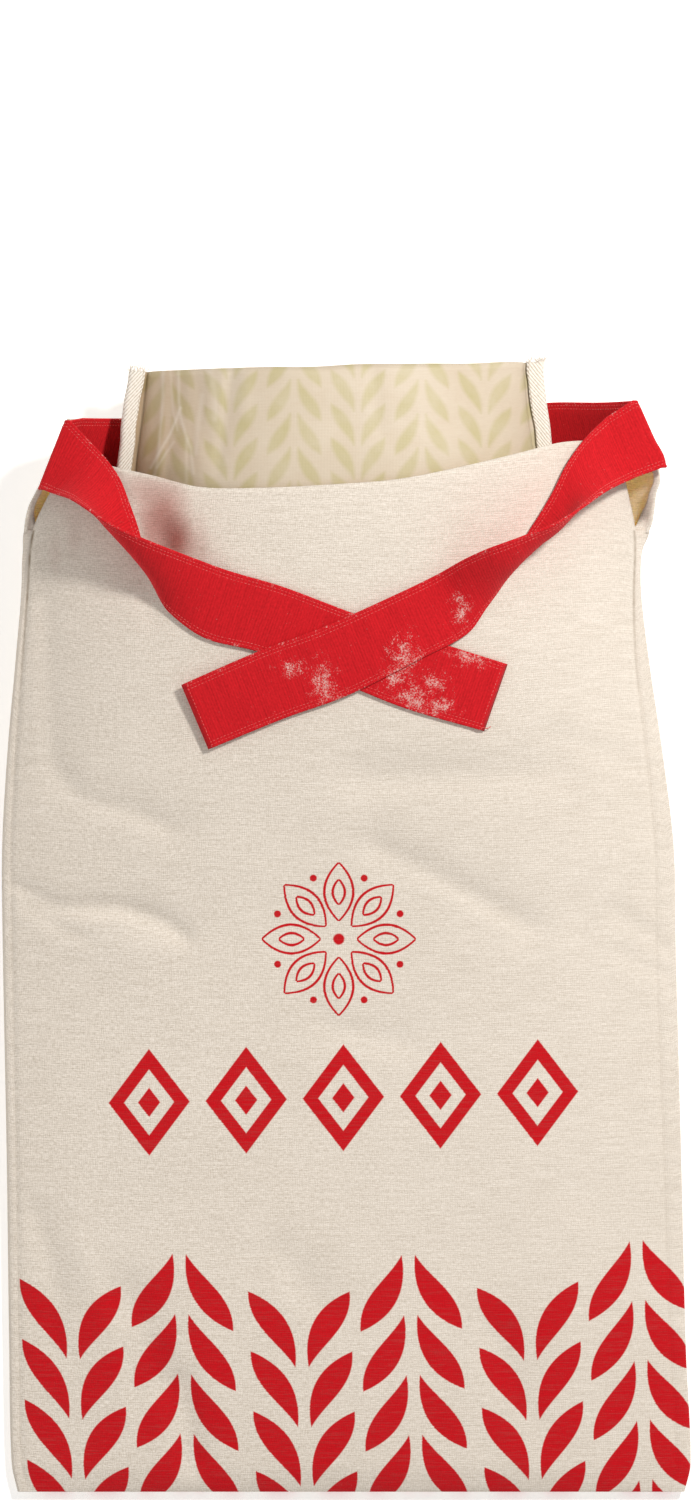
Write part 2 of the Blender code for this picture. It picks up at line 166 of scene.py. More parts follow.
def thicken(obj, thickness, offset, lining=None):
    solid = obj.modifiers.new("Cloth thickness", "SOLIDIFY")
    solid.thickness = thickness * mm
    solid.offset = offset
    solid.use_even_offset = True
    if lining:
        obj.data.materials.append(lining)
        solid.material_offset = 1


def settle(obj, body="root"):
    # modifiers become plain mesh, so that the finished piece carries none
    graph = bpy.context.evaluated_depsgraph_get()
    done = bpy.data.meshes.new_from_object(obj.evaluated_get(graph), depsgraph=graph)
    obj.modifiers.clear()
    obj.data = done
    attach(obj, body)


def feed(node, inputs):
    # each input, by name or number, is linked to an earlier result or set to a plain value
    for name, value in inputs.items():
        socket = node.inputs[name]
        if isinstance(value, bpy.types.Node):
            value = NodeValue(value)
        if isinstance(value, NodeValue):
            node.id_data.links.new(value.socket, socket)
        elif socket.type == "RGBA":
            socket.default_value = (*value, 1.0)
        else:
            socket.default_value = value


def addNode(tree, kind, inputs=None, **settings):
    node = tree.nodes.new(kind)
    for name, value in settings.items():
        setattr(node, name, value)
    feed(node, inputs or {})
    return node


def calc(operation, *values):
    # one Math node on numbers and earlier results
    tree = next(value.tree for value in values if isinstance(value, NodeValue))
    return NodeValue(addNode(tree, "ShaderNodeMath", dict(enumerate(values)), operation=operation))


def threeWays(tree, *values):
    return addNode(tree, "ShaderNodeCombineXYZ", dict(enumerate(values)))


def sign(operation):
    return lambda first, second: calc(operation, first, second)


class NodeValue:
    # a result in a node tree, which adds, multiplies and so on as a plain number does
    __add__ = __radd__ = sign("ADD")
    __sub__ = sign("SUBTRACT")
    __mul__ = __rmul__ = sign("MULTIPLY")
    __truediv__ = sign("DIVIDE")
    __mod__ = sign("FLOORED_MODULO")

    def __init__(self, node, output=0):
        self.tree = node.id_data
        self.socket = node.outputs[output]

    def __rsub__(self, first):
        return calc("SUBTRACT", first, self)

    def __abs__(self):
        return calc("ABSOLUTE", self)


def most(first, *others):
    for other in others:
        first = calc("MAXIMUM", first, other)
    return first


def least(first, *others):
    for other in others:
        first = calc("MINIMUM", first, other)
    return first


def distance(across, up):
    return calc("SQRT", across * across + up * up)


def readMaps(shader, *names):
    # both coordinates of each named map, one after the other
    values = []
    for name in names:
        place = addNode(shader.id_data, "ShaderNodeUVMap", uv_map=name)
        split = addNode(shader.id_data, "ShaderNodeSeparateXYZ", {0: place})
        values += [NodeValue(split, 0), NodeValue(split, 1)]
    return values


def grain(x, y, sizeX, sizeY, detail=2.0, roughness=0.5):
    # noise whose blots are sizeX by sizeY millimetres; returns a value from 0 to 1
    place = threeWays(x.tree, x / (sizeX * mm), y / (sizeY * mm))
    sizes = {"Vector": place, "Scale": 1.0, "Detail": detail, "Roughness": roughness}
    return NodeValue(addNode(x.tree, "ShaderNodeTexNoise", sizes, noise_dimensions="2D"), "Fac")


def reach(value, low, high, outLow=0.0, outHigh=1.0):
    # low to high becomes outLow to outHigh, held level past both
    ends = dict(enumerate((value, low, high, outLow, outHigh)))
    return NodeValue(addNode(value.tree, "ShaderNodeMapRange", ends, clamp=True))


def blendColours(share, first, second, mode="MIX"):
    ends = {"Factor": share, 6: first, 7: second}
    return NodeValue(addNode(share.tree, "ShaderNodeMix", ends, data_type="RGBA", blend_type=mode), 2)


def startMaterial(name, roughness, sheen=0.0, specular=0.25):
    mat = bpy.data.materials.new(name)
    mat.use_nodes = True
    shader = mat.node_tree.nodes["Principled BSDF"]
    feed(shader, {"Roughness": roughness, "Specular IOR Level": specular})
    feed(shader, {"Sheen Weight": sheen, "Sheen Roughness": 0.5})
    return mat, shader


def paint(shader, colour, height, depth, strength):
    relief = {"Strength": strength, "Distance": depth * mm, "Height": height}
    bump = addNode(shader.id_data, "ShaderNodeBump", relief)
    feed(shader, {"Base Color": colour, "Normal": bump})


def speckled(look, *channels):
    # a colour that drifts into another one with noise; it goes into the base colour and the named channels
    mat, shader = startMaterial(look["name"], *look["surface"])
    place = NodeValue(addNode(shader.id_data, "ShaderNodeTexCoord"), "Object")
    blots = addNode(shader.id_data, "ShaderNodeTexNoise", {"Scale": look["scale"], "Vector": place})
    colour = blendColours(reach(NodeValue(blots, "Fac"), *look["mix"]), look["cloth"], look["shade"])
    feed(shader, {channel: colour for channel in ("Base Color", *channels)})
    return mat, shader


def ribs(value, pitch):
    # rounded ribs: 0 between them, 1 on top
    return abs(calc("SINE", value * (math.pi / (pitch * mm))))


def plainWeave(x, y, pitch):
    return ribs(x, pitch) * ribs(y, pitch)


def leafShape(across, along, leaf):
    # 1 inside one leaf: across is the distance from the stem, along runs from inner to outer tip
    run, rise = leaf["reach"] - leaf["tip"], leaf["rise"]
    length = math.hypot(run, rise)
    ax, ay = run / length, rise / length
    off = across - leaf["tip"] * mm
    s = (off * ax + along * ay) / (length * mm)
    d = (off * -ay + along * ax) / (length * mm)
    bow = s * (1.0 - s)
    upper = bow * (4 * leaf["back"])
    lower = bow * s * (6.75 * leaf["belly"])
    edge = reach(least(upper - d, lower + d), -leaf["soft"], leaf["soft"])
    return edge * calc("GREATER_THAN", s, 0.0)


def leafColumn(x, y, border, rising):
    # a stem of leaf pairs that repeat down the cloth, under its first pair
    period, step = border["period"] * mm, border["step"] * mm
    side = abs((x + period / 2) % period - period / 2)
    down = y if rising else y * -1.0
    first = down % step
    found = []
    for row in range(2):
        along = first + row * step
        ahead = along - down if rising else down - along
        found.append(leafShape(side, along, border["leaf"]) * calc("GREATER_THAN", ahead, -0.01 * mm))
    return most(*found)


bag = {
    "thickness": 1,
    "seamWall": 3,            # height of the sewn side edge
    "seamPlump": 1.1,         # how far that edge rounds outward
    "plumpFade": 14,          # it thins to nothing over this length below the slits
    "slit": 402,              # where the side seams end
    "halfWidth": 137,         # of the panels, for the columns along the seams
    "frontCorner": 434,
    "backRim": 451,
    "backRimSlope": 3.5,
    "bottomRound": 12,
    "crownPower": (3.4, 2.25),
    "crownEase": (0.72, 1),
    "backPower": 1.8,
    "bulgeFrom": 0.8,
    "foldFade": 6,
    "across": 96,             # mesh columns of one panel, besides those along the seams
    "bodyRows": 168,
    "slitRows": 16,
    "bottomRows": 9,
    "edgeTurns": 3,           # mesh rows round the sewn edge
    "sections": byColumn("y left right seam crown outLeft outRight flat", (
        (0, -136.5, 141, 4.5, 9, 0, 0, 0.9),
        (12, -139, 143.5, 4.6, 11, 0, 0, 0.9),
        (60, -140, 141.5, 5, 14, 0, 0, 0.9),
        (140, -141, 139.5, 6, 18, 0, 0, 0.88),
        (230, -142.5, 137, 9, 28, 0, 0, 0.8),
        (270, -142.5, 136, 13, 38, 0, 0, 0.74),
        (310, -140, 131, 18, 51, 0, 0.6, 0.66),
        (345, -136.5, 125.5, 24, 62, 0, 1, 0.6),
        (375, -133, 121.5, 29, 70, 1, 2, 0.55),
        (402, -129.5, 120, 33.5, 76.5, 3.6, 4.8, 0.5),
        (416, -123, 117, 37.5, 79, 1.6, 3, 0.5),
        (424, -118, 115, 39.5, 80, 0.8, 1.8, 0.5),
        (440, -112, 111.5, 42, 81, 0, 0.6, 0.5),
        (460, -109, 109, 44, 81, 0, 0, 0.5),
    )),
    "rim": byColumn("x y", (
        (-116, 434), (-96, 428), (-75, 423), (-54, 418), (-30, 417.5), (0, 419),
        (22, 421), (46, 426), (71, 432.3), (88, 436.8), (99, 438), (107, 437.6), (114, 434),
    )),
    "flaps": byColumn("y left right height", (
        (402, -129.5, 120, 32),
        (411, -130, 124.5, 35.5),
        (417, -128.4, 126.2, 38),
        (423, -125.4, 128.6, 40),
        (437, -119.6, 125.6, 43.5),
        (452, -112.8, 120.6, 46),
    )),
    "rimLift": ((-0.76, 0.16, 0.6), (0.7, 0.17, 2.4)),   # place, half width and height along the back's rim
    # the hems turned in along the slits: how wide each shows from above
    "hems": byColumn("y left right", (
        (396, 3.8, 5.9), (402, 3.8, 5.8), (404, 3.3, 5.3), (409.6, 1.3, 3.5), (413, 0.9, 2),
        (419, 0.8, 1.2), (455, 0.8, 1.2),
    )),
    # the hem's section, turned round the flap's edge: share of its width, how far outside the edge, height
    "hemSection": (
        (0, 0, -1.05), (0, 0.3, -0.85), (0, 0.5, -0.35), (0, 0.5, 0.15), (0, 0.3, 0.6),
        (0.12, 0, 0.9), (0.4, 0, 1.3), (0.75, 0, 1.5), (0.95, 0, 1), (1, 0, 0),
        (0.5, 0, -0.4),
    ),
    "hemRows": 44,
    "hemEnds": (1.5, 0.4),    # it starts this far below the slit and ends this far below the rim
    "hemSink": 0.4,           # its lower end lies this far under the front
    "hemSearch": (0.7, 61),   # its width is measured along the flap in to this share, at this many points
    "hemJoin": 6,             # the hem comes out of the seam over this length
    # depth and half width, then the corners that the fold runs through; a ridge is positive
    "folds": {
        "left shoulder": (-3.2, 11, (-124, 365), (-123, 300)),
        "under left shoulder": (-2.1, 9, (-121, 302), (-111, 292), (-87, 286), (-71, 279)),
        "left cross crease": (-3, 7.5, (-139, 254), (-119, 244), (-91, 245), (-72, 237)),
        "ridge below it": (1.2, 9, (-122, 235), (-80, 228)),
        "crown break": (-3.2, 11, (6, 300), (52, 300), (84, 303)),
        "right slant": (-3, 10, (12, 270), (74, 238)),
        "right side sag": (-1.4, 13, (96, 250), (118, 200)),
        "centre dimple": (-1.8, 12, (-6, 196), (26, 190)),
        "left low trough": (-3.6, 8.5, (-128, 112), (-122, 62)),
        "low trough": (-3.6, 8.5, (-92, 84), (-76, 44)),
        "hem trough": (-3.8, 7.5, (-70, 44), (-64, 14)),
        "middle low trough": (-1.6, 10, (-26, 100), (-8, 78)),
        "right low trough": (-1.5, 11, (62, 66), (74, 30)),
        "right low ridge": (1.2, 12, (96, 108), (92, 60)),
    },
    # crisper lines along the same creases, and smaller ones
    "wrinkles": {
        "under shoulder": (-0.8, 3.4, (-119, 301), (-110, 291), (-87, 285), (-74, 279)),
        "cross": (-1.3, 2.8, (-137, 254), (-119, 245), (-106, 246), (-91, 245), (-76, 240), (-66, 232)),
        "cross second": (-0.8, 3, (-133, 246), (-119, 237), (-108, 232)),
        "cross ridge": (0.6, 3.4, (-116, 239), (-92, 239)),
        "slant": (-0.7, 3.8, (14, 271), (44, 256), (76, 238)),
        "slant ridge": (0.5, 4, (30, 255), (66, 236)),
        "crown line": (-0.4, 5, (10, 300), (74, 301)),
        "right edge one": (-1, 4.5, (112, 244), (134, 228)),
        "right edge two": (-0.8, 4, (116, 226), (134, 216)),
        "right shoulder": (-0.6, 5, (84, 318), (118, 306)),
        "centre": (-0.5, 4.5, (-8, 196), (24, 188)),
        "low left": (-0.7, 4, (-130, 118), (-120, 84)),
        "low left ridge": (0.6, 5, (-112, 104), (-100, 70)),
        "hem left": (-0.8, 4, (-92, 60), (-84, 26)),
        "hem middle": (-0.6, 3.6, (-66, 36), (-64, 10)),
        "low middle": (-0.25, 6, (-28, 102), (-12, 80)),
        "low right": (-0.6, 4.5, (62, 66), (76, 34)),
        "left strip": (-0.8, 4, (-124, 372), (-122, 306)),
        "rim left": (-0.8, 4, (-84, 404), (-80, 366)),
        "rim left second": (0.5, 4.5, (-72, 410), (-66, 372)),
        "rim right": (-0.5, 5, (58, 424), (52, 396)),
    },
    "unevenness": ((70, 0.55, 3), (28, 0.24, 5), (11, 0.1, 9)),   # grain, depth, seed
    "pucker": (8.5, 0.42, 8),   # spacing, depth and reach of the gathers along the side seams
    "puckerPhase": ((26, 2.6, 12),),
    "puckerSwell": (0.6, ((40, 0.4, 14),)),
    "edgeFade": (3, 1.5),     # wrinkles and gathers start over these lengths in from the edge
    # how far the back's edge shows outside the front's, near the lower end of each slit
    "strip": byColumn("y left right", (
        (340, 0, 0), (366, 0.8, 0.2), (385, 2, 0.8), (393, 2.8, 2.2), (402, 3.8, 5.9), (411, 1.5, 3.4),
        (418, 0, 2.1), (430, 0, 0.8), (442, 0, 0),
    )),
    # distance in from the left and right edge, depth and half width of the seam's groove
    "groove": byColumn("y left right depth wide", (
        (0, 3.4, 5, 0.5, 1.1), (120, 3.2, 6, 0.55, 1.1), (250, 3, 7, 0.6, 1.1),
        (341, 2, 5, 1.1, 1), (385, 0.6, 1.2, 0.9, 1), (402, 0.4, 0.6, 0.4, 1),
        (440, 2.8, 2.8, 0.35, 1),
    )),
    "foldShare": 0.55,        # how much of the soft folds this light needs
    "edgeColumns": (0, 0.9, 1.8, 2.6, 3.4, 4.2, 5, 5.8, 6.7, 7.7, 9),   # millimetres in from each side
}


def grooveLine(x, y):
    # how far a point lies inside the groove of the nearer side seam
    cut, groove = rowOf(bag["sections"], y), rowOf(bag["groove"], y)
    return np.minimum(x - cut["left"] - groove["left"], cut["right"] - x - groove["right"])


def turnUnder(y):
    left = 1 - np.minimum(y / bag["bottomRound"], 1.0)
    return np.sqrt(np.maximum(1 - left * left, 0))


def frontHeight(x, y):
    x, y = np.asarray(x, float), np.asarray(y, float)
    cut = rowOf(bag["sections"], y)
    middle, half = middleAndHalf(cut)
    u = np.clip((x - middle) / half, -1, 1)
    toward = np.minimum(y / bag["frontCorner"], 1.0)
    power, ease = (low + (high - low) * toward for low, high in (bag["crownPower"], bag["crownEase"]))
    edge = cut["seam"] + bag["seamWall"] / 2
    swell = np.maximum(1 - np.abs(u) ** power, 0.0) ** ease
    fade = 1 - np.abs(u) ** bag["foldFade"]
    inward = (1 - np.abs(u)) * half
    z = edge + (cut["crown"] - edge) * swell + foldsAt(bag["folds"], x, y) * fade * bag["foldShare"]
    wrinkleFade, puckerFade = (np.minimum(inward / length, 1) for length in bag["edgeFade"])
    z = z + foldsAt(bag["wrinkles"], x, y) * wrinkleFade
    z = z + unevenness(bag["unevenness"], x, y) * fade
    spacing, depth, reachIn = bag["pucker"]
    ripple = np.sin(y * 2 * math.pi / spacing + unevenness(bag["puckerPhase"], x * 0, y))
    swelling, layers = bag["puckerSwell"]
    ripple = ripple * (swelling + unevenness(layers, x * 0, y))
    z = z + depth * ripple * np.exp(-inward / reachIn) * puckerFade * (y < bag["slit"])
    groove = rowOf(bag["groove"], y)
    away = np.where(u < 0, groove["left"], groove["right"])
    z = z - groove["depth"] * np.exp(-(((inward - away) / groove["wide"]) ** 2))
    low = bag["sections"]["seam"][0] + bag["seamWall"] / 2
    return low + (z - low) * turnUnder(y)


def bagRows():
    corner, slit, turned = bag["frontCorner"], bag["slit"], bag["bottomRound"]
    bottom = turned * (1 - np.cos(np.linspace(0, math.pi / 2, bag["bottomRows"])))
    body = np.linspace(turned, slit, bag["bodyRows"] + 1)[1:]
    top = np.linspace(slit, corner, bag["slitRows"] + 1)[1:]
    return np.concatenate([bottom, body, top]) / corner


def bagColumns():
    # spaced evenly, and closer along both side seams
    near = 1 - np.array(bag["edgeColumns"]) / bag["halfWidth"]
    inner = np.linspace(-near[-1], near[-1], bag["across"] + 1)
    return np.concatenate([-near[:-1], inner, near[:-1][::-1]])


def frontPanel(u, t):
    middle, half = middleAndHalf(rowOf(bag["sections"], bag["frontCorner"]))
    rim = throughPoints(bag["rim"]["x"], bag["rim"]["y"], middle + u * half)
    y = t * np.where(np.abs(u) == 1, bag["frontCorner"], rim)
    middle, half = middleAndHalf(rowOf(bag["sections"], y))
    x = middle + u * half
    return np.stack([x, y, frontHeight(x, y)], axis=-1)


def backPanel(u, y):
    cut, flap, strip = (rowOf(bag[name], y) for name in ("sections", "flaps", "strip"))
    above = y > bag["slit"]
    left = np.where(above, flap["left"], cut["left"]) - strip["left"]
    right = np.where(above, flap["right"], cut["right"]) + strip["right"]
    height = np.where(above, flap["height"], cut["seam"] - bag["seamWall"] / 2)
    x = (left + right) / 2 + u * (right - left) / 2
    bulge = np.clip((np.abs(u) - bag["bulgeFrom"]) / (1 - bag["bulgeFrom"]), 0, 1)
    out = np.where(u < 0, cut["outLeft"], cut["outRight"])
    x = x + np.sign(u) * out * np.sin(math.pi * bulge)
    curl = np.maximum((np.abs(u) - cut["flat"]) / (1 - cut["flat"]), 0)
    z = height * curl ** bag["backPower"]
    low = bag["sections"]["seam"][0] - bag["seamWall"] / 2
    return np.stack([x, y, low - (low - z) * turnUnder(y)], axis=-1)


def backRimAt(u):
    rim = bag["backRim"] + bag["backRimSlope"] * u
    for place, wide, lift in bag["rimLift"]:
        rim = rim + lift * np.exp(-(((u - place) / wide) ** 2))
    return rim


def backPlaces(u, t):
    y = t * bag["frontCorner"]
    share = (y - bag["slit"]) / (bag["frontCorner"] - bag["slit"])
    return np.where(y <= bag["slit"], y, bag["slit"] + share * (backRimAt(u) - bag["slit"]))


def backInward(u, y):
    # the direction from the back's outer face into the bag
    tangent = backPanel(u + 0.01, y) - backPanel(u - 0.01, y)
    return unit(np.stack([-tangent[..., 2], 0 * tangent[..., 1], tangent[..., 0]], axis=-1))


def runAlong(points):
    # distance travelled along each row of points
    steps = np.linalg.norm(np.diff(points, axis=1), axis=2)
    return np.concatenate([np.zeros((len(points), 1)), np.cumsum(steps, axis=1)], axis=1)


def pouch(name, front, back, seamRows, plump, turns, material, seamShadeLine=None):
    # one cloth folded at the bottom and sewn up both sides: rings of front, edge, back, edge
    rows, wide = front.shape[:2]
    bends = np.linspace(0, math.pi, turns + 2)[1:-1]

    def sewnEdge(a, b, side):
        arc = []
        for bend in bends:
            mix = (1 - math.cos(bend)) / 2
            out = np.broadcast_to(plump, rows)[:, None] * [side * math.sin(bend), 0, 0]
            arc.append(a * (1 - mix) + b * mix + out)
        return np.stack(arc, axis=1)

    rightEdge, leftEdge = sewnEdge(front[:, -1], back[:, -1], 1), sewnEdge(back[:, 0], front[:, 0], -1)
    ring = np.concatenate([front, rightEdge, back[:, ::-1], leftEdge], axis=1)
    count = ring.shape[1]
    edgeTo = wide + turns
    hem = np.linalg.norm(front[0, wide // 2] - back[0, wide // 2]) / 2
    around = runAlong(ring)
    around = around - around[:, [wide // 2]]
    frontUp = hem + runAlong(front.transpose(1, 0, 2)).T
    backUp = -hem - runAlong(back[:, ::-1].transpose(1, 0, 2)).T
    edgeUp = (np.repeat(frontUp[:, [k]], turns, axis=1) for k in (-1, 0))
    up = np.concatenate([frontUp, next(edgeUp), backUp, next(edgeUp)], axis=1)
    plan = ring[..., :2].copy()
    plan[:, edgeTo:edgeTo + wide, 1] = backUp - hem
    maps = {"weave": np.stack([around, up], axis=-1).reshape(-1, 2), "plan": plan.reshape(-1, 2)}
    if seamShadeLine:
        maps["seam"] = np.stack([seamShadeLine(ring[..., 0], ring[..., 1]), ring[..., 1]], axis=-1).reshape(-1, 2)
    faces = []
    for quad in gridFaces(rows, count, closed=True):
        row, i = divmod(quad[0], count)
        inSeam = wide - 1 <= i < edgeTo or i >= edgeTo + wide - 1
        if row < seamRows or not inSeam:
            faces.append(quad)
    for i in range(wide - 1):   # the bottom fold, and the small gap at each end of it
        lower = edgeTo + wide - 1 - i
        faces.append((lower, lower - 1, i + 1, i))
    faces.append(tuple(range(edgeTo, wide - 2, -1)))
    faces.append(tuple(i % count for i in range(count, edgeTo + wide - 2, -1)))
    obj = makeMesh(name, ring, faces, material, maps)

    def clearUnused(work):
        unused = [point for point in work.verts if not point.link_faces]
        bmesh.ops.delete(work, geom=unused, context="VERTS")

    editMesh(obj, clearUnused)
    return obj


linenLook = {
    "cloth": (0.84, 0.768, 0.686),
    "shade": (0.57, 0.502, 0.42),
    # painted light: the inner side gets a warmer tan than the outer cloth and is kept bright, standing in for
    # warm light shining through the linen
    "inside": (0.92, 0.77, 0.63),
    "insideShade": (0.56, 0.44, 0.32),
    # light comes through the cloth from its outer side
    "throughLight": {
        "Subsurface Weight": 0.6, "Subsurface Scale": 1, "Subsurface Radius": (0.005, 0.0035, 0.0018),
    },
    "print": (0.6, 0.006, 0.012),
    "printShade": (0.44, 0.003, 0.007),
    "thread": 0.95,
    # sizes of the blots of each unevenness, then detail and roughness
    "slub": (15, 0.62, 2, 0.6),
    "weft": (2.1, 0.42, 2, 0.6),
    "warp": (0.42, 1.8, 2, 0.6),
    "cloud": (60, 40),
    "drift": (5, 5),
    "driftSize": 1.4,
    "border": {
        "middle": -20.2, "partner": 46.3, "period": 95.6, "step": 25.2,
        "risingTip": 52.9, "fallingTip": 99.6, "drift": 0.042, "slope": 0.01, "bow": 0.33,
        "leaf": {"tip": 2.8, "reach": 21.2, "rise": 31.8, "back": 0.195, "belly": 0.1, "soft": 0.006},
    },
    # painted shadow of the left loop beside it, reddened with painted red light from the loop: x, y, half
    # width, half height, strength
    "paintedRedShadow": (
        (-74, 407, 8.5, 13, 0.8), (-69, 396, 5.5, 9, 0.95), (-84, 418, 6, 5, 0.4),
        (-61, 395, 4.5, 10, 0.35), (-112, 398, 3, 8, 0.22), (-120, 392, 2.5, 8, 0.22),
        (-92, 385, 8, 10, 0.15),
    ),
    # colour of the painted red-tinted shadow, multiplied into the cloth
    "paintedRedShadowColour": (0.5, 0.19, 0.17),
    # painted shade in the crease of the side seams, drawn as a thin dark line
    "seamShadeLine": (0.27, 0.205, 0.14),
    "rosette": {
        "x": -2.9, "y": 232.3, "inner": 7.5, "outer": 32, "petal": 6,
        "line": 1.15, "spot": 1.5, "middle": 2.4,
        # each petal is drawn twice: shares of the inner and outer radius and of its width
        "petals": ((1, 1, 1), (1.9, 0.78, 0.42)),
    },
    "lozenges": {"x": -1, "y": 165.9, "tilt": 0.025, "pitch": 40.5, "half": (17, 22.4), "count": 5},
}


def linenCloth(x, y):
    # colour and height of slubby plain-woven linen
    look = linenLook
    slub, weft, warp, cloud = (grain(x, y, *look[name]) for name in ("slub", "weft", "warp", "cloud"))
    drift = grain(x, y, *look["drift"]) * (look["driftSize"] * mm)
    weave = plainWeave(x + drift, y - drift, look["thread"])
    canvas = weft * 0.56 + warp * 0.44
    rakingLightContrast = reach(x, -0.14, 0.14, 1.3, 0.72)   # painted light: the weave's colour contrast, and its relief, grow toward the left, where the light rakes across the cloth
    tone = reach(canvas, 0.36, 0.64, -0.26, 0.26) * rakingLightContrast + 0.26
    tone = tone + reach(slub, 0.34, 0.66) * 0.24 - weave * 0.24 + cloud * 0.14
    height = canvas * rakingLightContrast * 2.2 + slub * 0.9 + weave * 0.6
    return reach(tone, 0.0, 0.8), height, weft * 0.6 + slub


def rosetteInk(x, y, rosette):
    # eight outlined petals round a dot, drawn in one eighth and turned
    across, up = x - rosette["x"] * mm, y - rosette["y"] * mm
    radius = distance(across, up)
    eighth = math.pi / 4
    turn = abs((calc("ARCTAN2", up, across) + eighth / 2) % eighth - eighth / 2)
    along, off = radius * calc("COSINE", turn), radius * calc("SINE", turn)
    line = rosette["line"] * mm / 2
    strokes = []
    for inner, outer, petal in rosette["petals"]:
        start, end = rosette["inner"] * inner * mm, rosette["outer"] * outer * mm
        s = least(most((along - start) / (end - start), 0.0), 1.0)
        bow = s * (1.0 - s) * (4 * rosette["petal"] * petal * mm)
        within = calc("COMPARE", along, (start + end) / 2, (end - start) / 2)
        strokes.append(reach(abs(off - bow), 0.75 * line, 1.2 * line, 1.0, 0.0) * within)
    between = rosette["outer"] * 0.86 * mm
    away = distance(along - between * math.cos(eighth / 2), off - between * math.sin(eighth / 2))
    for far, size in ((away, rosette["spot"] * mm), (radius, rosette["middle"] * mm)):
        strokes.append(reach(far, 0.85 * size, 1.1 * size, 1.0, 0.0))
    return most(*strokes)


def lozengeInk(x, y, row):
    # a row of outlined lozenges, each with a solid middle
    pitch = row["pitch"] * mm
    across = x - row["x"] * mm
    up = abs(y - (across * row["tilt"] + row["y"] * mm))
    side = abs((across + pitch / 2) % pitch - pitch / 2)
    out = side / (row["half"][0] * mm) + up / (row["half"][1] * mm)   # 1 at the lozenge's edge
    outline = reach(out, 0.60, 0.63) * reach(out, 0.985, 1.015, 1.0, 0.0)
    ink = most(outline, reach(out, 0.26, 0.29, 1.0, 0.0))
    return ink * calc("COMPARE", across, 0.0, pitch * row["count"] / 2)


def borderInk(px, py, border):
    across = px - border["middle"] * mm + (border["fallingTip"] * mm - py) * -border["drift"]
    up = py - (px * border["slope"] + px * px * border["bow"])
    rising = leafColumn(across, up - border["risingTip"] * mm, border, True)
    falling = leafColumn(across - border["partner"] * mm, up - border["fallingTip"] * mm, border, False)
    return most(rising, falling)


def fromPatch(x, y, patch):
    # distance from the middle of an oval patch, 1 at its edge
    cx, cy, halfWide, halfHigh = patch
    return distance((x - cx * mm) / (halfWide * mm), (y - cy * mm) / (halfHigh * mm))


def linenMaterial():
    look = linenLook
    mat, shader = startMaterial("natural linen with red print", 0.92, 0.03, 0.14)
    x, y, px, py, fromSeam, upSeam = readMaps(shader, "weave", "plan", "seam")
    tone, height, wear = linenCloth(x, y)
    cloth = blendColours(tone, look["cloth"], look["shade"])
    # painted shade: a thin dark line in the crease of each side seam, darker toward the top and fainter on
    # the right, where the light falls
    seamShade = reach(abs(fromSeam), 0.1 * mm, 0.8 * mm, 1.0, 0.0)
    seamShade = seamShade * reach(upSeam, 325 * mm, 380 * mm, 0.14, 0.98) * reach(px, -mm, mm, 1.0, 0.7)
    seamShade = seamShade * reach(grain(px, py, 20.0, 5.0), 0.3, 0.7, 0.45, 1.0)
    seamShade = seamShade * reach(upSeam, 401.5 * mm, 402 * mm, 1.0, 0.0)   # it ends at the slit
    cloth = blendColours(seamShade, cloth, look["seamShadeLine"])
    # painted shadow and painted red reflection from the left loop, multiplied into the cloth
    for *patch, strength in look["paintedRedShadow"]:
        near = reach(fromPatch(px, py, patch), 0.2, 1.5, strength, 0.0)
        cloth = blendColours(calc("SMOOTH_MIN", near, strength), cloth, look["paintedRedShadowColour"], "MULTIPLY")
    ragged = (wear - 0.8) * (0.35 * mm)
    edgeX, edgeY = px + ragged, py + ragged
    border = borderInk(edgeX, edgeY, look["border"]) * calc("GREATER_THAN", py, -14 * mm)
    ink = most(border, lozengeInk(edgeX, edgeY, look["lozenges"]), rosetteInk(edgeX, edgeY, look["rosette"]))
    ink = ink * reach(wear, 0.75, 1.15, 1.0, 0.955)
    dye = blendColours(tone, look["print"], look["printShade"])
    paint(shader, blendColours(ink, cloth, dye), height, 0.16, 0.6)
    return mat


def liningMaterial():
    mat, shader = startMaterial("inner side of the linen", 0.92, 0.05)
    feed(shader, linenLook["throughLight"])
    tone, height, _ = linenCloth(*readMaps(shader, "weave"))
    # painted light: these inside colours stand in for warm light shining through the linen
    paint(shader, blendColours(tone, linenLook["inside"], linenLook["insideShade"]), height, 0.16, 0.6)
    return mat


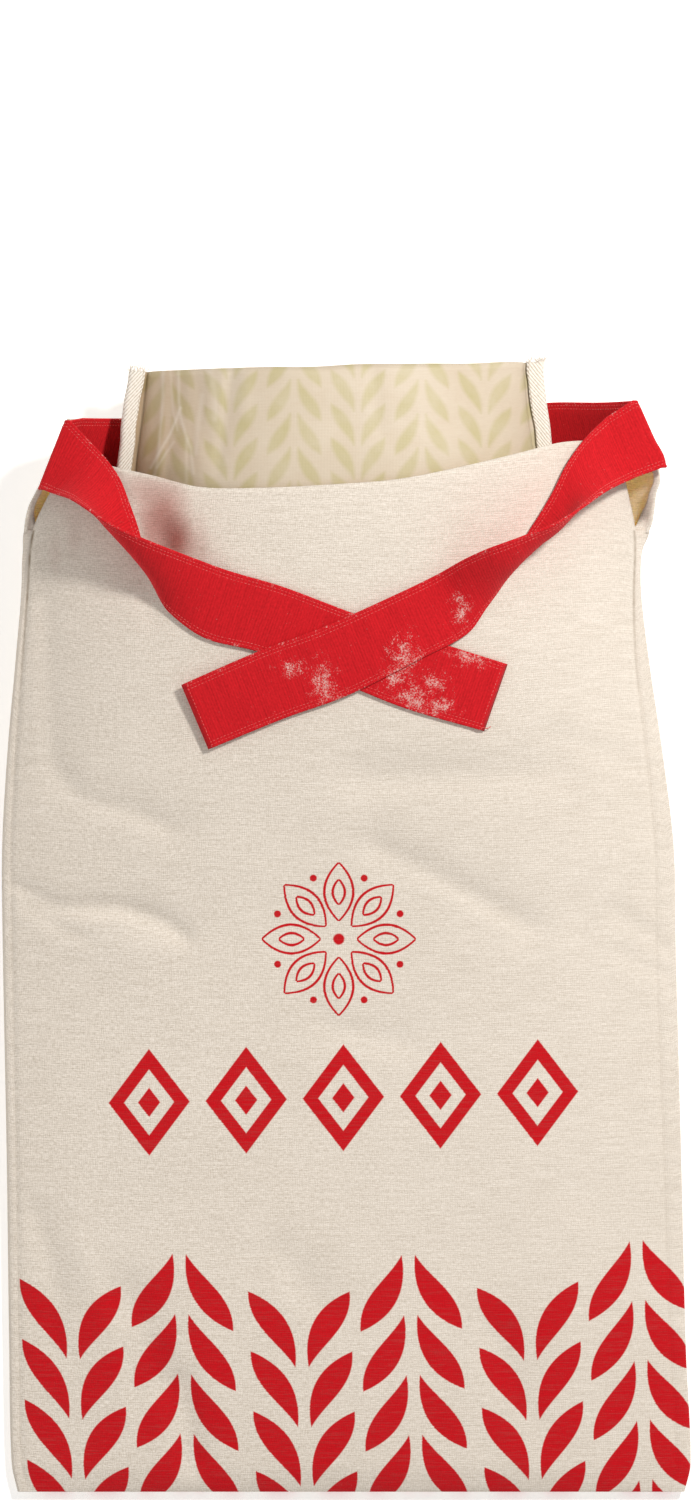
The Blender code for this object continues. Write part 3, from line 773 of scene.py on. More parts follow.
def slitHem(name, side, material):
    # the doubled edge of a flap: it runs out of the side seam and up to the back's rim
    below, short = bag["hemEnds"]
    y = np.linspace(bag["slit"] - below, backRimAt(side) - short, bag["hemRows"])
    wide = edgeOf(rowOf(bag["hems"], y), side)
    inTo, places = bag["hemSearch"]
    near = side * np.linspace(1, inTo, places)
    section = np.array(bag["hemSection"])
    frontEdge = edgeOf(rowOf(bag["sections"], y), side)
    frontLevel = frontHeight(frontEdge, y) - bag["hemSink"]
    join = easeIn(np.clip((y - bag["slit"]) / bag["hemJoin"], 0, 1))
    points = np.zeros((len(y), len(section), 3))
    for j, level in enumerate(y):
        flap = backPanel(near, np.full(near.shape, level))
        u = np.interp(section[:, 0] * wide[j], np.abs(flap[:, 0] - flap[0, 0]), near)
        at = np.full(u.shape, level)
        base, inward = backPanel(u, at), backInward(u, at)
        outward = side * np.stack([inward[:, 2], 0 * u, -inward[:, 0]], axis=-1)
        row = base + inward * (bag["thickness"] + section[:, [2]]) + outward * section[:, [1]] * join[j]
        seam = base[0] + (np.array([frontEdge[j], level, frontLevel[j]]) - base[0]) * section[:, [0]]
        upper = (section[:, [2]] > 0) * (1 - join[j])
        points[j] = row * (1 - upper) + np.maximum(seam, row) * upper * [0, 0, 1] + row * upper * [1, 1, 0]
    count = len(section)
    run = np.concatenate([[0], np.cumsum(np.abs(np.diff(section[:, 0])) * 5 + 0.3)])
    faces = gridFaces(len(y), count, closed=True, flip=side > 0)
    ends = [tuple(range(count)), tuple(range((len(y) - 1) * count, len(y) * count))]
    ends[1 if side > 0 else 0] = ends[1 if side > 0 else 0][::-1]
    plan = points.reshape(-1, 3)[:, :2]
    away = np.full(plan.shape, 50.0)   # no painted seam shade on the hem
    maps = {"weave": pairs(run[None, :], y[:, None]), "plan": plan, "seam": away}
    return makeMesh(name, points, faces + ends, material, maps)


def linenBag(material):
    uu, tt = np.meshgrid(bagColumns(), bagRows())
    front = frontPanel(uu, tt)
    back = backPanel(uu, backPlaces(uu, tt))
    seamRows = len(uu) - 1 - bag["slitRows"]
    plump = bag["seamPlump"] * np.clip((bag["slit"] - back[:, 0, 1]) / bag["plumpFade"], 0, 1)
    piece = pouch("linenBag", front, back, seamRows, plump, bag["edgeTurns"], material, grooveLine)
    thicken(piece, bag["thickness"], -1, liningMaterial())
    return piece


liner = {
    "thickness": 0.6,
    "top": 467.4,
    "topSlope": 2,
    "flangeShare": 0.074,
    "flangeHalf": 1.35,
    "flangeLevel": 0.46,
    "power": (2.5, 0.74),
    "underPower": (3.4, 0.55),
    "columns": 117,           # mesh columns of one panel, besides those of the flanges
    "rows": 130,
    "sections": byColumn("y left right under over", (
        (100, -100, 93, 2, 7.6),
        (160, -101, 93.5, 2, 12.5),
        (230, -100.5, 93, 2, 20),
        (290, -98.5, 91, 2.2, 36),
        (340, -96.5, 89, 2.6, 55),
        (390, -94.5, 87, 3.4, 69.5),
        (425, -93.2, 85.4, 3.9, 77.2),
        (450, -90, 81.8, 4, 78.2),
        (467, -87.8, 80, 4, 77.6),
    )),
    "folds": {
        "left pleat": (-1.6, 5, (-66, 470), (-70, 424)),
        "second pleat": (1.2, 5, (-55, 470), (-60, 430)),
        "right pleat": (-1, 8, (52, 470), (58, 420)),
        "top dip": (-1, 10, (-10, 474), (24, 472)),
        "edge pleat": (-1.3, 1.8, (-77, 466), (-81, 424)),
        "narrow pleat": (-0.7, 1.8, (-57, 468), (-63, 430)),
        "crossing pleat": (-0.6, 1.6, (-61, 467), (-57, 432)),
        "narrow ridge": (0.6, 1.8, (-50, 469), (-52, 440)),
        "left line": (-1.4, 2, (-71, 468), (-74, 420)),
        "left ridge": (1, 2, (-64, 468), (-68, 426)),
        "middle line": (-0.8, 2.2, (-46, 470), (-52, 426)),
        "small ridge": (0.6, 2.4, (-40, 468), (-42, 446)),
        "right line": (-0.4, 3, (10, 470), (14, 440)),
        "right edge line": (-0.7, 3, (66, 466), (68, 430)),
    },
    "unevenness": ((34, 0.5, 31), (13, 0.18, 33)),
    "topHalf": 90,
    "topCorner": 1.9,         # the top edge rises this much to both sides
    "topWave": (0.7, 23, 35),   # how much the raw top edge wanders, over what length, and seed
}


def flangeHeight(cut):
    return cut["under"] + (cut["over"] - cut["under"]) * liner["flangeLevel"]


def linerY(u, t):
    first = liner["sections"]["y"][0]
    top = liner["top"] + liner["topSlope"] * u
    wander, size, seed = liner["topWave"]
    wave = wander * softNoise(u * liner["topHalf"], u * 0, size, seed)
    top = top + liner["topCorner"] * np.abs(u) ** 3 + wave * (1 - np.abs(u) ** 8)
    return first + t * (top - first)


def linerPanel(u, t, side):
    y = linerY(u, t)
    cut = rowOf(liner["sections"], y)
    middle, half = middleAndHalf(cut)
    x = middle + u * half
    share = np.minimum(np.abs(u) / (1 - liner["flangeShare"]), 1)
    power, ease = liner["power"] if side > 0 else liner["underPower"]
    swell = np.maximum(1 - share ** power, 0) ** ease
    edge = flangeHeight(cut) + side * liner["flangeHalf"]
    z = edge + (cut["over" if side > 0 else "under"] - edge) * swell
    if side > 0:
        z = z + (foldsAt(liner["folds"], x, y) + unevenness(liner["unevenness"], x, y)) * swell
    return np.stack([x, y, z], axis=-1)


def linerColumns():
    flange = liner["flangeShare"]
    swell = (flange - 1) * np.cos(np.linspace(0, math.pi, liner["columns"]))
    return np.concatenate([[-1.0, -1 + flange / 2], swell, [1 - flange / 2, 1.0]])


waxedLook = {
    "cloth": (0.605, 0.51, 0.39),
    "pale": (0.67, 0.595, 0.485),
    "thread": (0.54, 0.43, 0.31),
    "leaf": (0.49, 0.43, 0.225),
    # painted shade, multiplied into the liner's left side
    "paintedLeftShade": (0.88, 0.76, 0.63),
    "border": {
        "start": 600, "middle": -47, "partner": 26, "period": 52, "step": 13.8,
        "leaf": {"tip": 1.5, "reach": 10.9, "rise": 17.2, "back": 0.17, "belly": 0.1, "soft": 0.045},
    },
    # painted highlights along the small pleats, each also raising its pleat a little: half width, strength,
    # then the corners
    "pleatHighlights": (
        (1.6, 0.3, (-75.3, 468), (-75.2, 456), (-75.8, 447), (-77.1, 433), (-78.6, 424)),
        (1.2, 0.2, (-72.1, 468), (-70.9, 450), (-69, 442)),
        (1.5, 0.34, (-68.7, 468), (-68.4, 454), (-67.6, 447), (-65.6, 440), (-63.4, 434), (-62.4, 424)),
        (1.4, 0.42, (-67.9, 451), (-69.6, 446), (-72.4, 440), (-75.6, 435), (-80.2, 427)),
        (1.3, 0.3, (-70.7, 437), (-73.6, 433), (-77.6, 427)),
        (2.2, 0.26, (-58.6, 456), (-60.3, 444), (-61.4, 432)),
        (2.8, 0.26, (-55.8, 468), (-53.2, 455), (-53.4, 446)),
        (1.8, 0.26, (-65.1, 438), (-65.3, 420)),
    ),
    # colour of the painted pleat highlights
    "pleatHighlightColour": (0.8, 0.72, 0.62),
    "weave": 0.6,
}


def bentLine(x, y, corners, wide):
    # 1 along a line through the corners, 0 past its half width
    squares = []
    for (x1, y1), (x2, y2) in zip(corners, corners[1:]):
        dx, dy = (x2 - x1) * mm, (y2 - y1) * mm
        offX, offY = x - x1 * mm, y - y1 * mm
        square = dx * dx + dy * dy
        along = least(most(offX * (dx / square) + offY * (dy / square), 0.0), 1.0)
        awayX, awayY = along * -dx + offX, along * -dy + offY
        squares.append(awayX * awayX + awayY * awayY)
    near = reach(calc("SQRT", least(*squares)), 0.0, wide * mm, 1.0, 0.0)
    return calc("SMOOTH_MIN", near, near * near * 1.4, 0.2)


def waxedMaterial():
    look = waxedLook
    mat, shader = startMaterial("waxed cotton with pale leaves", 0.48, specular=0.4)
    x, y, px, py = readMaps(shader, "weave", "plan")
    border = look["border"]
    across = px - border["middle"] * mm
    down = py - border["start"] * mm   # the rows start past the top edge
    falling = leafColumn(across - border["partner"] * mm, down, border, False)
    ink = most(leafColumn(across, down, border, True), falling)
    cloud, thread = grain(x, y, 16.0, 16.0, 3.0, 0.6), grain(x, y, 6.0, 0.6)
    cloth = blendColours(reach(cloud, 0.3, 0.7, 0.0, 0.4), look["cloth"], look["pale"])
    cloth = blendColours(reach(thread, 0.3, 0.8, 0.0, 0.25), cloth, look["thread"])
    ink = ink * reach(cloud, 0.25, 0.75, 0.90, 0.45)
    leftShadeShare = reach(px, -88 * mm, -52 * mm, 1.0, 0.0)   # painted shade toward the left side, where the liner turns away from the light
    dyed = blendColours(leftShadeShare, blendColours(ink, cloth, look["leaf"]), look["paintedLeftShade"], "MULTIPLY")
    height = plainWeave(x, y, look["weave"]) * 0.3 + grain(x, y, 8.0, 8.0, 4.0, 0.6)
    # painted highlights on the small pleats, with a little relief under each
    for wide, strength, *corners in look["pleatHighlights"]:
        pleatRidgeAndHighlight = bentLine(px, py, corners, wide) * strength
        dyed = blendColours(pleatRidgeAndHighlight, dyed, look["pleatHighlightColour"])
        height = height + pleatRidgeAndHighlight
    paint(shader, dyed, height, 0.35, 0.35)
    return mat


def waxedLiner():
    uu, tt = np.meshgrid(linerColumns(), np.linspace(0, 1, liner["rows"] + 1))
    front, back = linerPanel(uu, tt, 1), linerPanel(uu, tt, -1)
    piece = pouch("waxedLiner", front, back, liner["rows"] + 1, 0.6, 2, waxedMaterial())
    thicken(piece, liner["thickness"], -1)
    return piece


tape = {
    "thickness": 0.8,
    "clear": 0.5,
    # how far it reaches over the cloth
    "legs": byColumn("y leg", ((100, 5), (415, 4.2), (440, 4.4), (467, 5))),
    "legColumns": 6,
    "bendColumns": 6,
    "bendOut": 0.7,
    "rows": 170,
    "wave": (0.55, 9, 21),    # how far its fold wanders, over what length, and seed
    "legWave": (0.33, 6.3, 25),   # and its two edges
    "legRow": 50,             # the row of the noise that the edges follow
    "rib": 1.9,
    "band": 6.6,
    "stitch": {"Spacing": 2.1, "Length": 1.5, "Radius": 0.22},
    "stitchInset": 4.3,       # distance in from the fold
    "fray": {"Length": 2.6, "Radius": 0.16},   # of the loose threads
    "fraySpread": 0.75,
    "frayCount": 60,
    "frayIn": (0.2, 0.8),     # how far in from the end the threads start
    "fraySeeds": (51, 7),     # for the places, and for the turns and sizes
    "cloth": (0.92, 0.87, 0.79),
    "shade": (0.6, 0.52, 0.42),
    "loose": {
        "name": "loose white threads", "surface": (0.9, 0.1), "scale": 900, "mix": (0.35, 0.65),
        "cloth": (0.95, 0.91, 0.85), "shade": (0.8, 0.73, 0.64),
    },
}


def tapeMaterial():
    mat, shader = startMaterial("white herringbone tape", 0.9, 0.1)
    x, y = readMaps(shader, "weave")
    rib = ribs(calc("PINGPONG", x, tape["band"] * mm) * 1.3 + y, tape["rib"])
    fuzz = grain(x, y, 1.1, 1.1, 2.0, 0.6)
    shade = reach(fuzz - rib * 0.9, -0.35, 0.55)
    paint(shader, blendColours(shade, tape["cloth"], tape["shade"]), fuzz * 0.4 + rib, 0.3, 0.7)
    return mat


def growOn(name, spots, edges, grow, sizes, material):
    # runs a new node tree, with its sizes as named inputs, on the given points and lines
    tree = bpy.data.node_groups.new(name, "GeometryNodeTree")
    socket = tree.interface.new_socket
    socket("Geometry", in_out="INPUT", socket_type="NodeSocketGeometry")
    ids = {}
    for label, value in sizes.items():
        kind = "NodeSocketInt" if isinstance(value, int) else "NodeSocketFloat"
        ids[label] = socket(label, in_out="INPUT", socket_type=kind).identifier
    socket("Geometry", in_out="OUTPUT", socket_type="NodeSocketGeometry")
    entry = addNode(tree, "NodeGroupInput")
    grown = grow(tree, {label: NodeValue(entry, label) for label in ("Geometry", *sizes)})
    real = addNode(tree, "GeometryNodeRealizeInstances", {0: grown})
    dyed = addNode(tree, "GeometryNodeSetMaterial", {"Geometry": real, "Material": material})
    addNode(tree, "NodeGroupOutput", {0: dyed})
    piece = makeMesh(name, spots, [], material, edges=edges)
    modifier = piece.modifiers.new("Grown", "NODES")
    modifier.node_group = tree
    for label, value in sizes.items():
        modifier[ids[label]] = value
    return piece


def threadTube(tree, curve, radius, sides):
    circle = addNode(tree, "GeometryNodeCurvePrimitiveCircle", {"Resolution": sides, "Radius": radius})
    shape = {"Curve": curve, "Profile Curve": circle, "Fill Caps": True}
    return addNode(tree, "GeometryNodeCurveToMesh", shape)


def sow(tree, points, piece, turn, size):
    spots = {"Points": points, "Instance": piece, "Rotation": turn, "Scale": size}
    return addNode(tree, "GeometryNodeInstanceOnPoints", spots)


def stitchRow(tree, given):
    # short rounded stitches along every edge of the lines that it is given
    curve = addNode(tree, "GeometryNodeMeshToCurve", {0: given["Geometry"]})
    line = {"Curve": curve, "Length": given["Spacing"]}
    places = addNode(tree, "GeometryNodeCurveToPoints", line, mode="LENGTH")
    ball = addNode(tree, "GeometryNodeMeshUVSphere", {"Segments": 6, "Rings": 4, "Radius": 1.0})
    size = threeWays(tree, given["Radius"], given["Radius"], given["Length"] * 0.5)
    return sow(tree, places, ball, NodeValue(places, "Rotation"), size)


def frayedEnd(tree, given):
    # loose thread ends that stand out along +y from each given point
    arc = {"Resolution": 4, "Start": (0, 0, 0), "Middle": (0.10, 0, 0.55), "End": (0.42, 0, 0.95)}
    bent = addNode(tree, "GeometryNodeCurveQuadraticBezier", arc)
    length, spread, seed = given["Length"], given["Spread"], given["Seed"]
    drawn = {"Geometry": bent, "Scale": threeWays(tree, length, length, length)}
    tube = threadTube(tree, addNode(tree, "GeometryNodeTransform", drawn), given["Radius"], 4)
    quarter = math.pi / 2
    ends = {
        0: threeWays(tree, -quarter - spread, -math.pi, spread * -1.0),
        1: threeWays(tree, -quarter + spread, math.pi, spread),
        "Seed": seed,
    }
    turn = addNode(tree, "FunctionNodeRandomValue", ends, data_type="FLOAT_VECTOR")
    size = addNode(tree, "FunctionNodeRandomValue", {2: 0.35, 3: 1.25, "Seed": seed}, data_type="FLOAT")
    return sow(tree, given["Geometry"], tube, turn, NodeValue(size, 1))


def looseEnd(tree, given):
    curve = addNode(tree, "GeometryNodeMeshToCurve", {0: given["Geometry"]})
    return threadTube(tree, curve, given["Radius"], 5)


def inChains(lines):
    # joins polylines into one list of points and one of edges
    points, edges = [], []
    for line in lines:
        first = len(points)
        points.extend(line)
        edges.extend((first + k, first + k + 1) for k in range(len(line) - 1))
    return np.array(points), edges


def inMetres(sizes):
    return {label: size * mm for label, size in sizes.items()}


def sewAlong(name, lines, stitch, material):
    return growOn(name, *inChains(lines), stitchRow, inMetres(stitch), material)


def tapeOutline(leg):
    # across the tape: its upper leg, the bend round the seam and its lower leg
    inner = liner["flangeHalf"] + tape["clear"] + tape["thickness"] / 2
    legs = np.linspace(-leg, 0, tape["legColumns"])
    bends = np.linspace(math.pi / 2, -math.pi / 2, tape["bendColumns"] + 2)[1:-1]
    outline = [(dx, inner) for dx in legs]
    outline += [(tape["bendOut"] * inner * math.cos(b), inner * math.sin(b)) for b in bends]
    outline += [(dx, -inner) for dx in legs[::-1]]
    return np.array(outline)


def tapePoints(side):
    y = linerY(side, np.linspace(0, 1, tape["rows"] + 1))
    outline = np.array([tapeOutline(leg) for leg in rowOf(tape["legs"], y)["leg"]])
    cut = rowOf(liner["sections"], y)
    depth, size, seed = tape["wave"]
    sway = depth * softNoise(y, y * 0, size, seed + side)
    points = np.zeros((len(y), outline.shape[1], 3))
    points[..., 0] = (edgeOf(cut, side) + sway)[:, None] + side * outline[..., 0]
    points[..., 1] = y[:, None]
    points[..., 2] = flangeHeight(cut)[:, None] + outline[..., 1]
    depth, size, seed = tape["legWave"]
    legSway = depth * softNoise(y, y * 0 + tape["legRow"], size, seed + side)
    points[:, 0, 0] += legSway
    points[:, -1, 0] -= legSway
    return points


def seamTape(name, side, material):
    # a tape folded over the seam, swept up the seam
    outline, points = tapeOutline(tape["legs"]["leg"][0]), tapePoints(side)
    faces = gridFaces(len(points), len(outline), flip=side < 0)
    weave = pairs(travelled(outline)[None, :], points[..., 1])
    piece = makeMesh(name, points, faces, material, {"weave": weave})
    thicken(piece, tape["thickness"], 0)
    return piece


def tapeStitches(name, side, material):
    # the seam that holds the tape on, seen on its upper leg
    line = tapePoints(side)[:, tape["legColumns"] - 1].copy()
    line[:, 0] -= side * tape["stitchInset"]
    line[:, 2] += tape["thickness"] / 2
    return sewAlong(name, [line], tape["stitch"], material)


def tapeFray(name, side, material):
    # loose threads at the tape's cut upper end
    count, (placeSeed, turnSeed) = tape["frayCount"], tape["fraySeeds"]
    rng = np.random.default_rng(placeSeed + side)
    end = tapePoints(side)[-1]
    at = rng.uniform(0, len(end) - 1, count)
    low = np.floor(at).astype(int).clip(0, len(end) - 2)
    share = (at - low)[:, None]
    spots = end[low] * (1 - share) + end[low + 1] * share
    spots[:, 1] -= rng.uniform(*tape["frayIn"], count)
    sizes = {**inMetres(tape["fray"]), "Spread": tape["fraySpread"], "Seed": turnSeed + side}
    return growOn(name, spots, [], frayedEnd, sizes, material)


tie = {
    "thickness": 1.2,
    "width": 29,
    "across": 10,
    "step": 2.4,              # spacing of the mesh rows
    "turn": 3,                # least length that counts from one row of a run to the next
    "flatBelly": 0.2,         # a run that bows less than this follows the front
    "creaseRadius": 2,
    "creaseTurns": (75, 45, 15, -15, -45, -75),
    "backEnds": 0.965,
    "backRows": 110,
    "gap": 0.5,
    "aboveRim": 0.2,
    "curlClearance": 0.5,
    "edgeRound": (0, 0.12, 0.35, 0.75, 1.5, 2.8),   # extra mesh columns in from each long edge
    "stitch": {"Spacing": 1.55, "Length": 1.1, "Radius": 0.17},
    "stitchRows": (1.5, 2.8),   # distances in from each long edge
    "endRow": 2.1,            # distance in from each end
    "stitchPull": (0.16, 0.5),   # depth and half width of the dent that the stitches draw in
    "rib": 1.15,
    # a run's rows: both edges with their heights over the front, and how far the tape bows between them
    "columns": "ax ay aLift bx by bLift belly",
    "leftRun": (
        (66.5, 346, 1.6, 57, 318.5, 1.6, 0),
        (34.5, 356, 1.6, 24, 328, 1.6, 0),
        (3.5, 366.5, 1.6, -6, 340, 1.6, 0),
        (-26, 377.5, 1.6, -36, 351, 1.6, 0),
        (-48, 384, 3, -57.5, 356.5, 1.6, -0.5),
        (-63.5, 389.5, 12, -71.5, 366.5, 1.6, -1.5),
        (-73, 393, 19.5, -76.5, 374, 1.6, -2.5),
        (-79.5, 395.5, 24, -80, 383.5, 1.8, -4.5),
        (-85.5, 398, 26.5, -82.5, 392, 2, -5.5),
        (-91.5, 400.5, 29, -85, 402, 2.2, -6.5),
        (-98, 404, 31, -88.5, 412, 2.5, -6.5),
        (-105.5, 409, 28, -92.5, 422, 3, -4.5),
        (-113, 413.5, 21, -98, 430, 3.5, -2),
        (-120, 416, 13, -104.5, 437, 5.5, -0.5),
    ),
    "rightRun": (
        (-67.5, 337.5, 4.6, -56.5, 311, 3.6, 0),
        (-35, 351.5, 3, -24.5, 324, 2.6, 0),
        (-10.5, 360.5, 3.4, 0.5, 333, 3.2, 0),
        (21, 374.5, 3.4, 32.5, 349, 3.2, 0),
        (37.5, 382.5, 4, 50, 358.5, 2.2, 0.3),
        (47.5, 388, 12, 57.5, 369, 1.8, 1.5),
        (56.5, 392, 20, 63, 377, 1.8, 3),
        (63.5, 394.5, 24, 67, 383.5, 2, 4.5),
        (70.5, 397, 26, 70.5, 391.5, 2, 5.5),
        (77, 399.5, 28, 74.5, 399.5, 2, 6),
        (83.5, 402, 30, 79.5, 407.5, 2.2, 6.5),
        (90, 405.5, 31, 85, 417, 2.5, 6),
        (98.5, 411, 28, 90.6, 428.2, 3, 4),
        (107.5, 417, 21, 98.4, 439, 4, 2),
        (118.5, 422.5, 12.5, 107.3, 447.8, 6, 0.5),
    ),
    "creases": {
        -1: ((-126.5, 418, 47.5), (-115, 446.5, 51.5)),
        1: ((131.9, 427, 49.5), (119.4, 454.5, 53)),
    },
    "creaseBulge": (0.2, 0.13, 0.8),   # a small curl low on the right crease: place, half width, size
    "endFold": (2.4, 2, 0.9),   # the turned-in ends: where they are thickest, half width, share added
    "looseThread": (
        (55, 319.6, 2), (56.4, 320, 2.6), (57.8, 319.7, 2.5), (58.8, 319.9, 2.2), (59.6, 320.4, 1.9),
    ),
    "loose": {"Radius": 0.17},
}


def tieShares():
    # places across the tie, from 0 to 1, closer together along its edges
    near = np.array(tie["edgeRound"]) / tie["width"]
    inner = np.linspace(near[-1], 1 - near[-1], tie["across"] + 1)
    return np.concatenate([near[:-1], inner, 1 - near[:-1][::-1]])


def tieFrontRun(rows):
    table = byColumn(tie["columns"], rows)
    middle = np.stack([(table["ax"] + table["bx"]) / 2, (table["ay"] + table["by"]) / 2], axis=1)
    gaps = np.maximum(np.linalg.norm(np.diff(middle, axis=0), axis=1), tie["turn"])
    along = np.concatenate([[0], np.cumsum(gaps)])
    at = np.linspace(0, along[-1], round(along[-1] / tie["step"]) + 1)
    v = {name: throughPoints(along, table[name], at) for name in table}

    def edgeLine(x, y, lift):
        return np.stack([x, y, frontHeight(x, y) + lift], axis=1)

    a, b = edgeLine(v["ax"], v["ay"], v["aLift"]), edgeLine(v["bx"], v["by"], v["bLift"])
    total = a + b
    heading = unit(np.concatenate([total[1:], total[-1:]]) - np.concatenate([total[:1], total[:-1]]))
    normal = unit(np.cross(b - a, heading))
    share = tieShares()[None, :, None]
    bow = v["belly"][:, None, None] * 4 * share * (1 - share)
    points = a[:, None] * (1 - share) + b[:, None] * share + normal[:, None] * bow
    s = share[..., 0]
    lift = v["aLift"][:, None] * (1 - s) + v["bLift"][:, None] * s
    lying = frontHeight(points[..., 0], points[..., 1]) + lift
    flat = np.abs(v["belly"])[:, None] < tie["flatBelly"]
    points[..., 2] = np.where(flat, lying, points[..., 2])
    return points


def tieCrease(side):
    a, b = (np.array(end) for end in tie["creases"][side])
    share = tieShares()[:, None]
    place, wide, size = tie["creaseBulge"]
    curl = size * np.exp(-(((share - place) / wide) ** 2)) * np.array([1, 0, 0]) * (side > 0)
    rows = []
    for turn in np.radians(tie["creaseTurns"]):
        shift = np.array([-side * (1 - math.cos(turn)), 0, math.sin(turn)]) * tie["creaseRadius"]
        rows.append(a * (1 - share) + b * share + shift + curl)
    return np.stack(rows)


def tieBackRun():
    u = np.linspace(-tie["backEnds"], tie["backEnds"], tie["backRows"] + 1)
    uu, ss = np.meshgrid(u, tieShares(), indexing="ij")
    y = backRimAt(uu) + tie["aboveRim"] - tie["width"] * (1 - ss)
    clear = tie["gap"] + tie["curlClearance"] * np.clip(2 * np.abs(uu) - 1, 0, 1)
    return backPanel(uu, y) + backInward(uu, y) * (bag["thickness"] + clear + tie["thickness"] / 2)[..., None]


def tieRows():
    left, right = tieFrontRun(tie["leftRun"]), tieFrontRun(tie["rightRun"])
    return np.concatenate([left, tieCrease(-1), tieBackRun(), tieCrease(1)[::-1], right[::-1]])


redLook = {
    "cloth": (0.66, 0.013, 0.02),
    "shade": (0.36, 0.006, 0.009),
    "flour": (0.8, 0.66, 0.6),
    "sewing": {
        "name": "red sewing thread", "surface": (0.7, 0.1, 0.2), "scale": 700, "mix": (0.35, 0.75),
        "cloth": (0.66, 0.03, 0.035), "shade": (0.72, 0.17, 0.155),
    },
    # x, y, half width, half height of each dusty patch
    "dust": (
        (-9, 338, 6, 10), (-3, 330, 5, 6), (47, 368, 4, 8), (24, 349, 7, 9), (20, 340, 6, 6),
        (28, 332, 8, 7), (38, 329, 7, 5), (51, 349, 9, 4), (36, 338, 6, 5), (-22, 344, 6, 4),
    ),
}


def redMaterial():
    look = redLook
    mat, shader = startMaterial("ribbed red cotton", 0.88, 0.03, 0.12)
    x, y, px, py = readMaps(shader, "weave", "plan")
    rib = ribs(y, tie["rib"])
    streak, fuzz = grain(x, y, 14.0, 0.8, 3.0, 0.55), grain(x, y, 1.2, 0.9, 2.0, 0.6)
    shade = streak * 0.5 + fuzz * 0.6 - rib * 0.16
    colour = blendColours(reach(shade, 0.2, 0.85), look["cloth"], look["shade"])
    patches = [reach(fromPatch(px, py, patch), 0.1, 1.7, 0.33, 0.0) for patch in look["dust"]]
    fromEdge = calc("PINGPONG", x, tie["width"] / 2 * mm)
    patches = most(*patches, reach(fromEdge, 0.3 * mm, 2.0 * mm, 0.14, 0.0))
    speck, uneven = grain(px, py, 0.75, 0.75, 3.0, 0.8), grain(px, py, 3.6, 3.6, 2.0, 0.6)
    dust = reach(speck * 0.9 + uneven * 0.5 + patches, 0.94, 1.12)
    colour = blendColours(dust * 0.60, colour, look["flour"])
    paint(shader, colour, fuzz * 1.2 + rib, 0.10, 0.5)
    return mat


def tieFaces():
    # the two faces of the tie, half its thickness either side of its middle, meeting at the edges
    rows = tieRows()
    lengthways, crossways = (unit(np.gradient(rows, axis=axis)) for axis in (0, 1))
    normal = unit(np.cross(crossways, lengthways))
    across = tieShares() * tie["width"]
    run = travelled(rows[:, rows.shape[1] // 2])
    half = tie["thickness"] / 2

    def rounded(away):
        return np.sqrt(1 - (1 - np.clip(away / half, 0, 1)) ** 2)

    edge = np.minimum(across, tie["width"] - across)
    end = np.minimum(run, run[-1] - run)
    depth, dentHalf = tie["stitchPull"]
    pulled = depth * np.exp(-(((edge - tie["stitchRows"][0]) / dentHalf) ** 2))
    place, wide, extra = tie["endFold"]
    doubled = 1 + extra * np.exp(-(((end - place) / wide) ** 2))
    height = (half - pulled)[None, :] * rounded(edge)[None, :] * (rounded(end) * doubled)[:, None]
    return rows + normal * height[..., None], rows - normal * height[..., None], across, run


def tieTape():
    upper, lower, across, run = tieFaces()
    count, wide = upper.shape[:2]
    points = np.concatenate([upper, lower]).reshape(-1, 3)
    faces = []
    for quad in gridFaces(count, wide):
        faces.append(quad)
        faces.append(tuple(k + count * wide for k in quad[::-1]))
    weave = pairs(across[None, :], run[:, None])
    maps = {"weave": np.concatenate([weave, weave]), "plan": points[:, :2]}
    piece = makeMesh("tieTape", points, faces, redMaterial(), maps)

    def close(work):
        bmesh.ops.remove_doubles(work, verts=work.verts, dist=0.01 * mm)
        bmesh.ops.recalc_face_normals(work, faces=work.faces)

    editMesh(piece, close)
    return piece


def tieStitches(material):
    # two lines along each long edge and one across each end, on both faces
    inset, second = tie["stitchRows"]
    upper, lower, across, run = tieFaces()
    ownLength = (run > inset) & (run < run[-1] - inset)
    ownWidth = (across > inset) & (across < tie["width"] - inset)
    lines = []
    for face in (upper, lower):
        for place in (inset, second, tie["width"] - second, tie["width"] - inset):
            lines.append(face[ownLength, np.argmin(np.abs(across - place))])
        for place in (tie["endRow"], run[-1] - tie["endRow"]):
            lines.append(face[np.argmin(np.abs(run - place)), ownWidth])
    return sewAlong("tieStitches", lines, tie["stitch"], material)


def tieLooseThread(material):
    # one sewing thread left long at the corner of the right end
    path = np.array(tie["looseThread"])
    path[:, 2] += frontHeight(path[:, 0], path[:, 1])
    return growOn("tieLooseThread", *inChains([path]), looseEnd, inMetres(tie["loose"]), material)


def toFrame(obj):
    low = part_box("linen_bag")[0]
    shift = Vector((low.x - bag["sections"]["left"].min() * mm, low.y, 0))
    for vertex in obj.data.vertices:
        vertex.co += shift


herringbone = tapeMaterial()
whiteThread, _ = speckled(tape["loose"])
linen = linenMaterial()
redThread, _ = speckled(redLook["sewing"])
print("cloth, tape and thread mixed")

